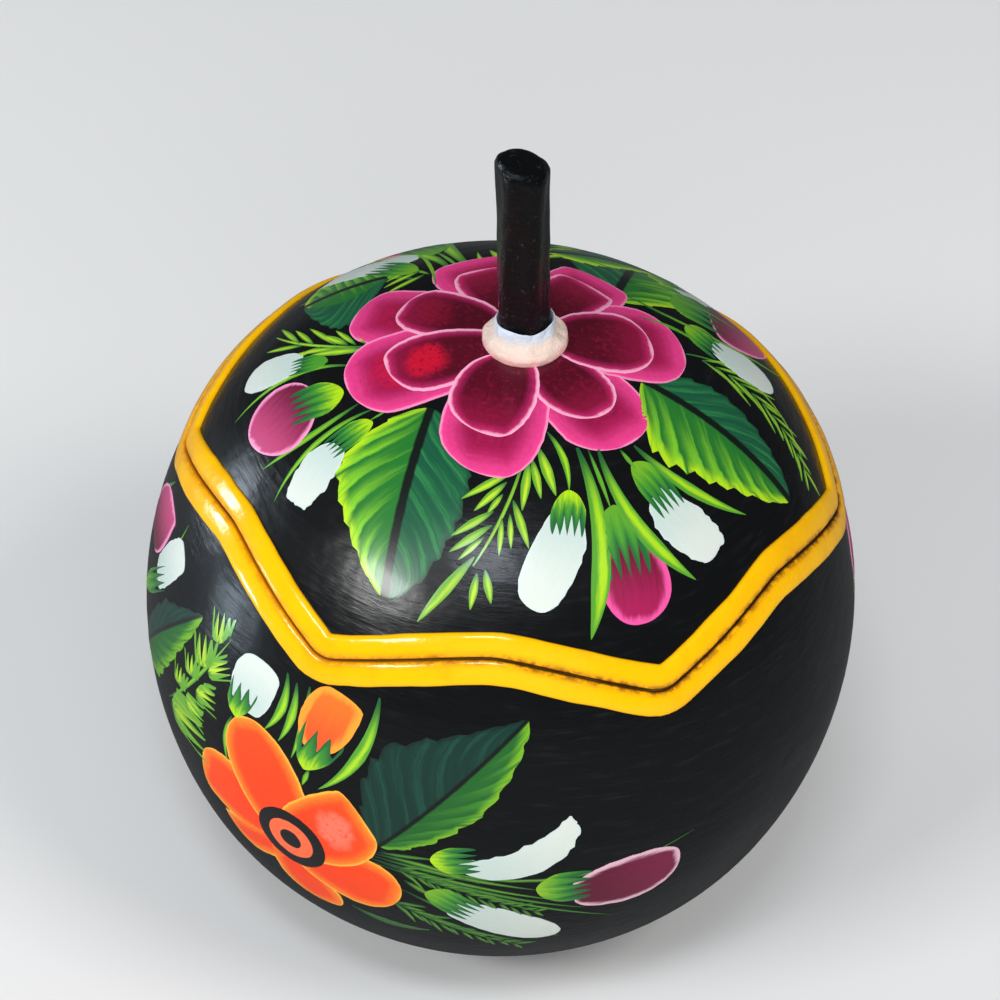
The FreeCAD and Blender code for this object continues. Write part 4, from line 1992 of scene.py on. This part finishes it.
    def make_ferns(self) -> None:
        """Make the spiky sprays and the dark ferns."""
        spikes = self.painter.place_all(outlined(SPIKES, 1.0, (
            ((219, 644), (224, 612), (214, 624), (232, 626), 0.9),
            ((204, 668), (206, 634), (196, 648), (215, 648), 0.9),
            ((192, 677), (193, 655), (186, 663), (199, 663), 0.8),
            ((180, 686), (182, 668), (175, 676), (187, 676), 0.8),
            ((208, 672), (231, 670), (222, 659), (220, 680), 1.0),
            ((196, 690), (216, 706), (210, 688), (200, 703), 1.0),
            ((186, 698), (204, 720), (198, 704), (188, 712), 0.9),
            ((172, 702), (206, 742), (200, 716), (180, 728), 0.5),
        )))
        self.piece("bowl_spikes", spikes, FERN_GREEN, "bowl_spike_green")
        upper = Fern((384, 862), (450, 886), (540, 912), pairs=14, length=6.0, fan=0.5, width=0.8)
        lower = Fern((384, 896), (430, 918), (520, 944), pairs=12, length=6.5, fan=0.5, width=1.0)
        ferns = self.painter.fern(upper) + self.painter.fern(lower)
        self.piece("bowl_dark_ferns", ferns, DEEP_GREEN, "bowl_fern_dark")

    def make(self) -> None:
        """Make both bouquets."""
        self.make_ferns()
        self.make_leaves()
        self.make_blades()
        self.make_buds()
        self.make_flower()


@dataclass(frozen=True)
class Lamp:
    """A soft square lamp, aimed at the gourd."""

    name: str
    azimuth: float
    elevation: float
    distance: float
    width: float
    height: float
    power: float
    tone: Shade = (255, 255, 255)
    mirrored: bool = True

    def place(self, target: Vector) -> None:
        """Hang the lamp.

        Args:
            target: The point that it faces.
        """
        data = bpy.data.lights.new(self.name, "AREA")
        data.shape = "RECTANGLE"
        data.size = self.width
        data.size_y = self.height
        data.energy = self.power
        data.color = linear(self.tone)[:3]
        turn, lift = math.radians(self.azimuth), math.radians(self.elevation)
        level = math.cos(lift)
        away = Vector((math.sin(turn) * level, -math.cos(turn) * level, math.sin(lift)))
        lamp = bpy.data.objects.new(self.name, data)
        lamp.visible_glossy = self.mirrored
        lamp.location = target + away * self.distance
        lamp.rotation_euler = away.to_track_quat("Z", "Y").to_euler()
        bpy.context.scene.collection.objects.link(lamp)


@dataclass
class Studio:
    """A plain pale floor, soft lamps and an even sky.

    In reflections the floor and the sky are darker, as the surroundings of lacquer are. A lamp's
    turn is counted from the front to the right.
    """

    skin: GourdSkin
    floor_size: float = 6.0
    floor_roughness: float = 0.8
    floor_shade: Shade = (236, 235, 233)
    mirrored_floor: Shade = (112, 112, 112)
    sky_shade: Shade = (224, 228, 232)
    sky_strength: float = 0.34
    mirrored_sky: float = 0.06
    lamps: tuple = (
        Lamp("key_front", -46.0, 38.0, 1.8, 0.6, 0.26, 13.0),
        Lamp("key_top", -9.0, 61.0, 1.8, 0.42, 0.26, 7.5, (236, 244, 255)),
        Lamp("front_fill", 8.0, 20.0, 2.0, 1.6, 1.2, 11.5, mirrored=False),
        Lamp("window_left", -106.0, 4.0, 1.3, 0.18, 0.46, 5.0, (226, 241, 255)),
        Lamp("glint_left", -82.0, -6.0, 0.45, 0.07, 0.045, 0.25, (218, 238, 255)),
        Lamp("fill_right", 58.0, 52.0, 1.8, 0.6, 0.6, 10.0, mirrored=False),
    )

    def make_floor(self) -> None:
        """Lay the floor."""
        bpy.ops.object.select_all(action="DESELECT")
        bpy.ops.mesh.primitive_plane_add(size=self.floor_size)
        floor = bpy.context.object
        floor.name = "floor"
        bench = Bench("floor_pale", self.floor_roughness)
        glossy = bench.node("ShaderNodeLightPath").outputs["Is Glossy Ray"]
        bench.colour(bench.mix(glossy, self.floor_shade, self.mirrored_floor))
        floor.data.materials.append(bench.material)

    def make_sky(self) -> None:
        """Set an even sky."""
        world = bpy.data.worlds.new("sky")
        world.use_nodes = True
        background = world.node_tree.nodes["Background"]
        background.inputs["Color"].default_value = linear(self.sky_shade)
        path = world.node_tree.nodes.new("ShaderNodeLightPath")
        strength = world.node_tree.nodes.new("ShaderNodeMapRange")
        strength.inputs["To Min"].default_value = self.sky_strength
        strength.inputs["To Max"].default_value = self.mirrored_sky
        world.node_tree.links.new(path.outputs["Is Glossy Ray"], strength.inputs["Value"])
        world.node_tree.links.new(strength.outputs["Result"], background.inputs["Strength"])
        bpy.context.scene.world = world

    def make(self) -> None:
        """Set the stage."""
        self.make_floor()
        for lamp in self.lamps:
            lamp.place(Vector(self.skin.centre))
        self.make_sky()
        bpy.context.scene.view_settings.view_transform = "Standard"


def lacquer_shells(frame: dict, skin: GourdSkin) -> None:
    """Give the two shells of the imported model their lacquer.

    Args:
        skin: The gourd's outside.
    """
    for node, name in (("bowl_shell", "bowl_black"), ("lid_shell", "lid_black")):
        shell = frame["nodes"][node]
        finish = BlackLacquer(centre_height=float(skin.centre[2])).make(name)
        shell.data.materials.clear()
        shell.data.materials.append(finish)
        LOG.info("%s: lacquered", node)


def main() -> None:
    """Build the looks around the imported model, piece by piece."""
    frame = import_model()
    skin = GourdSkin()
    view = Viewpoint()
    view.place(skin)
    lacquer_shells(frame, skin)
    RimBands(skin).make()
    Stem(skin).make()
    painter = Painter(skin, view)
    LidFlowers(painter).make()
    BowlFlowers(painter).make()
    painter.clear()
    Studio(skin).make()
    LOG.info("sizes written")


if __name__ == "__main__":
    main()
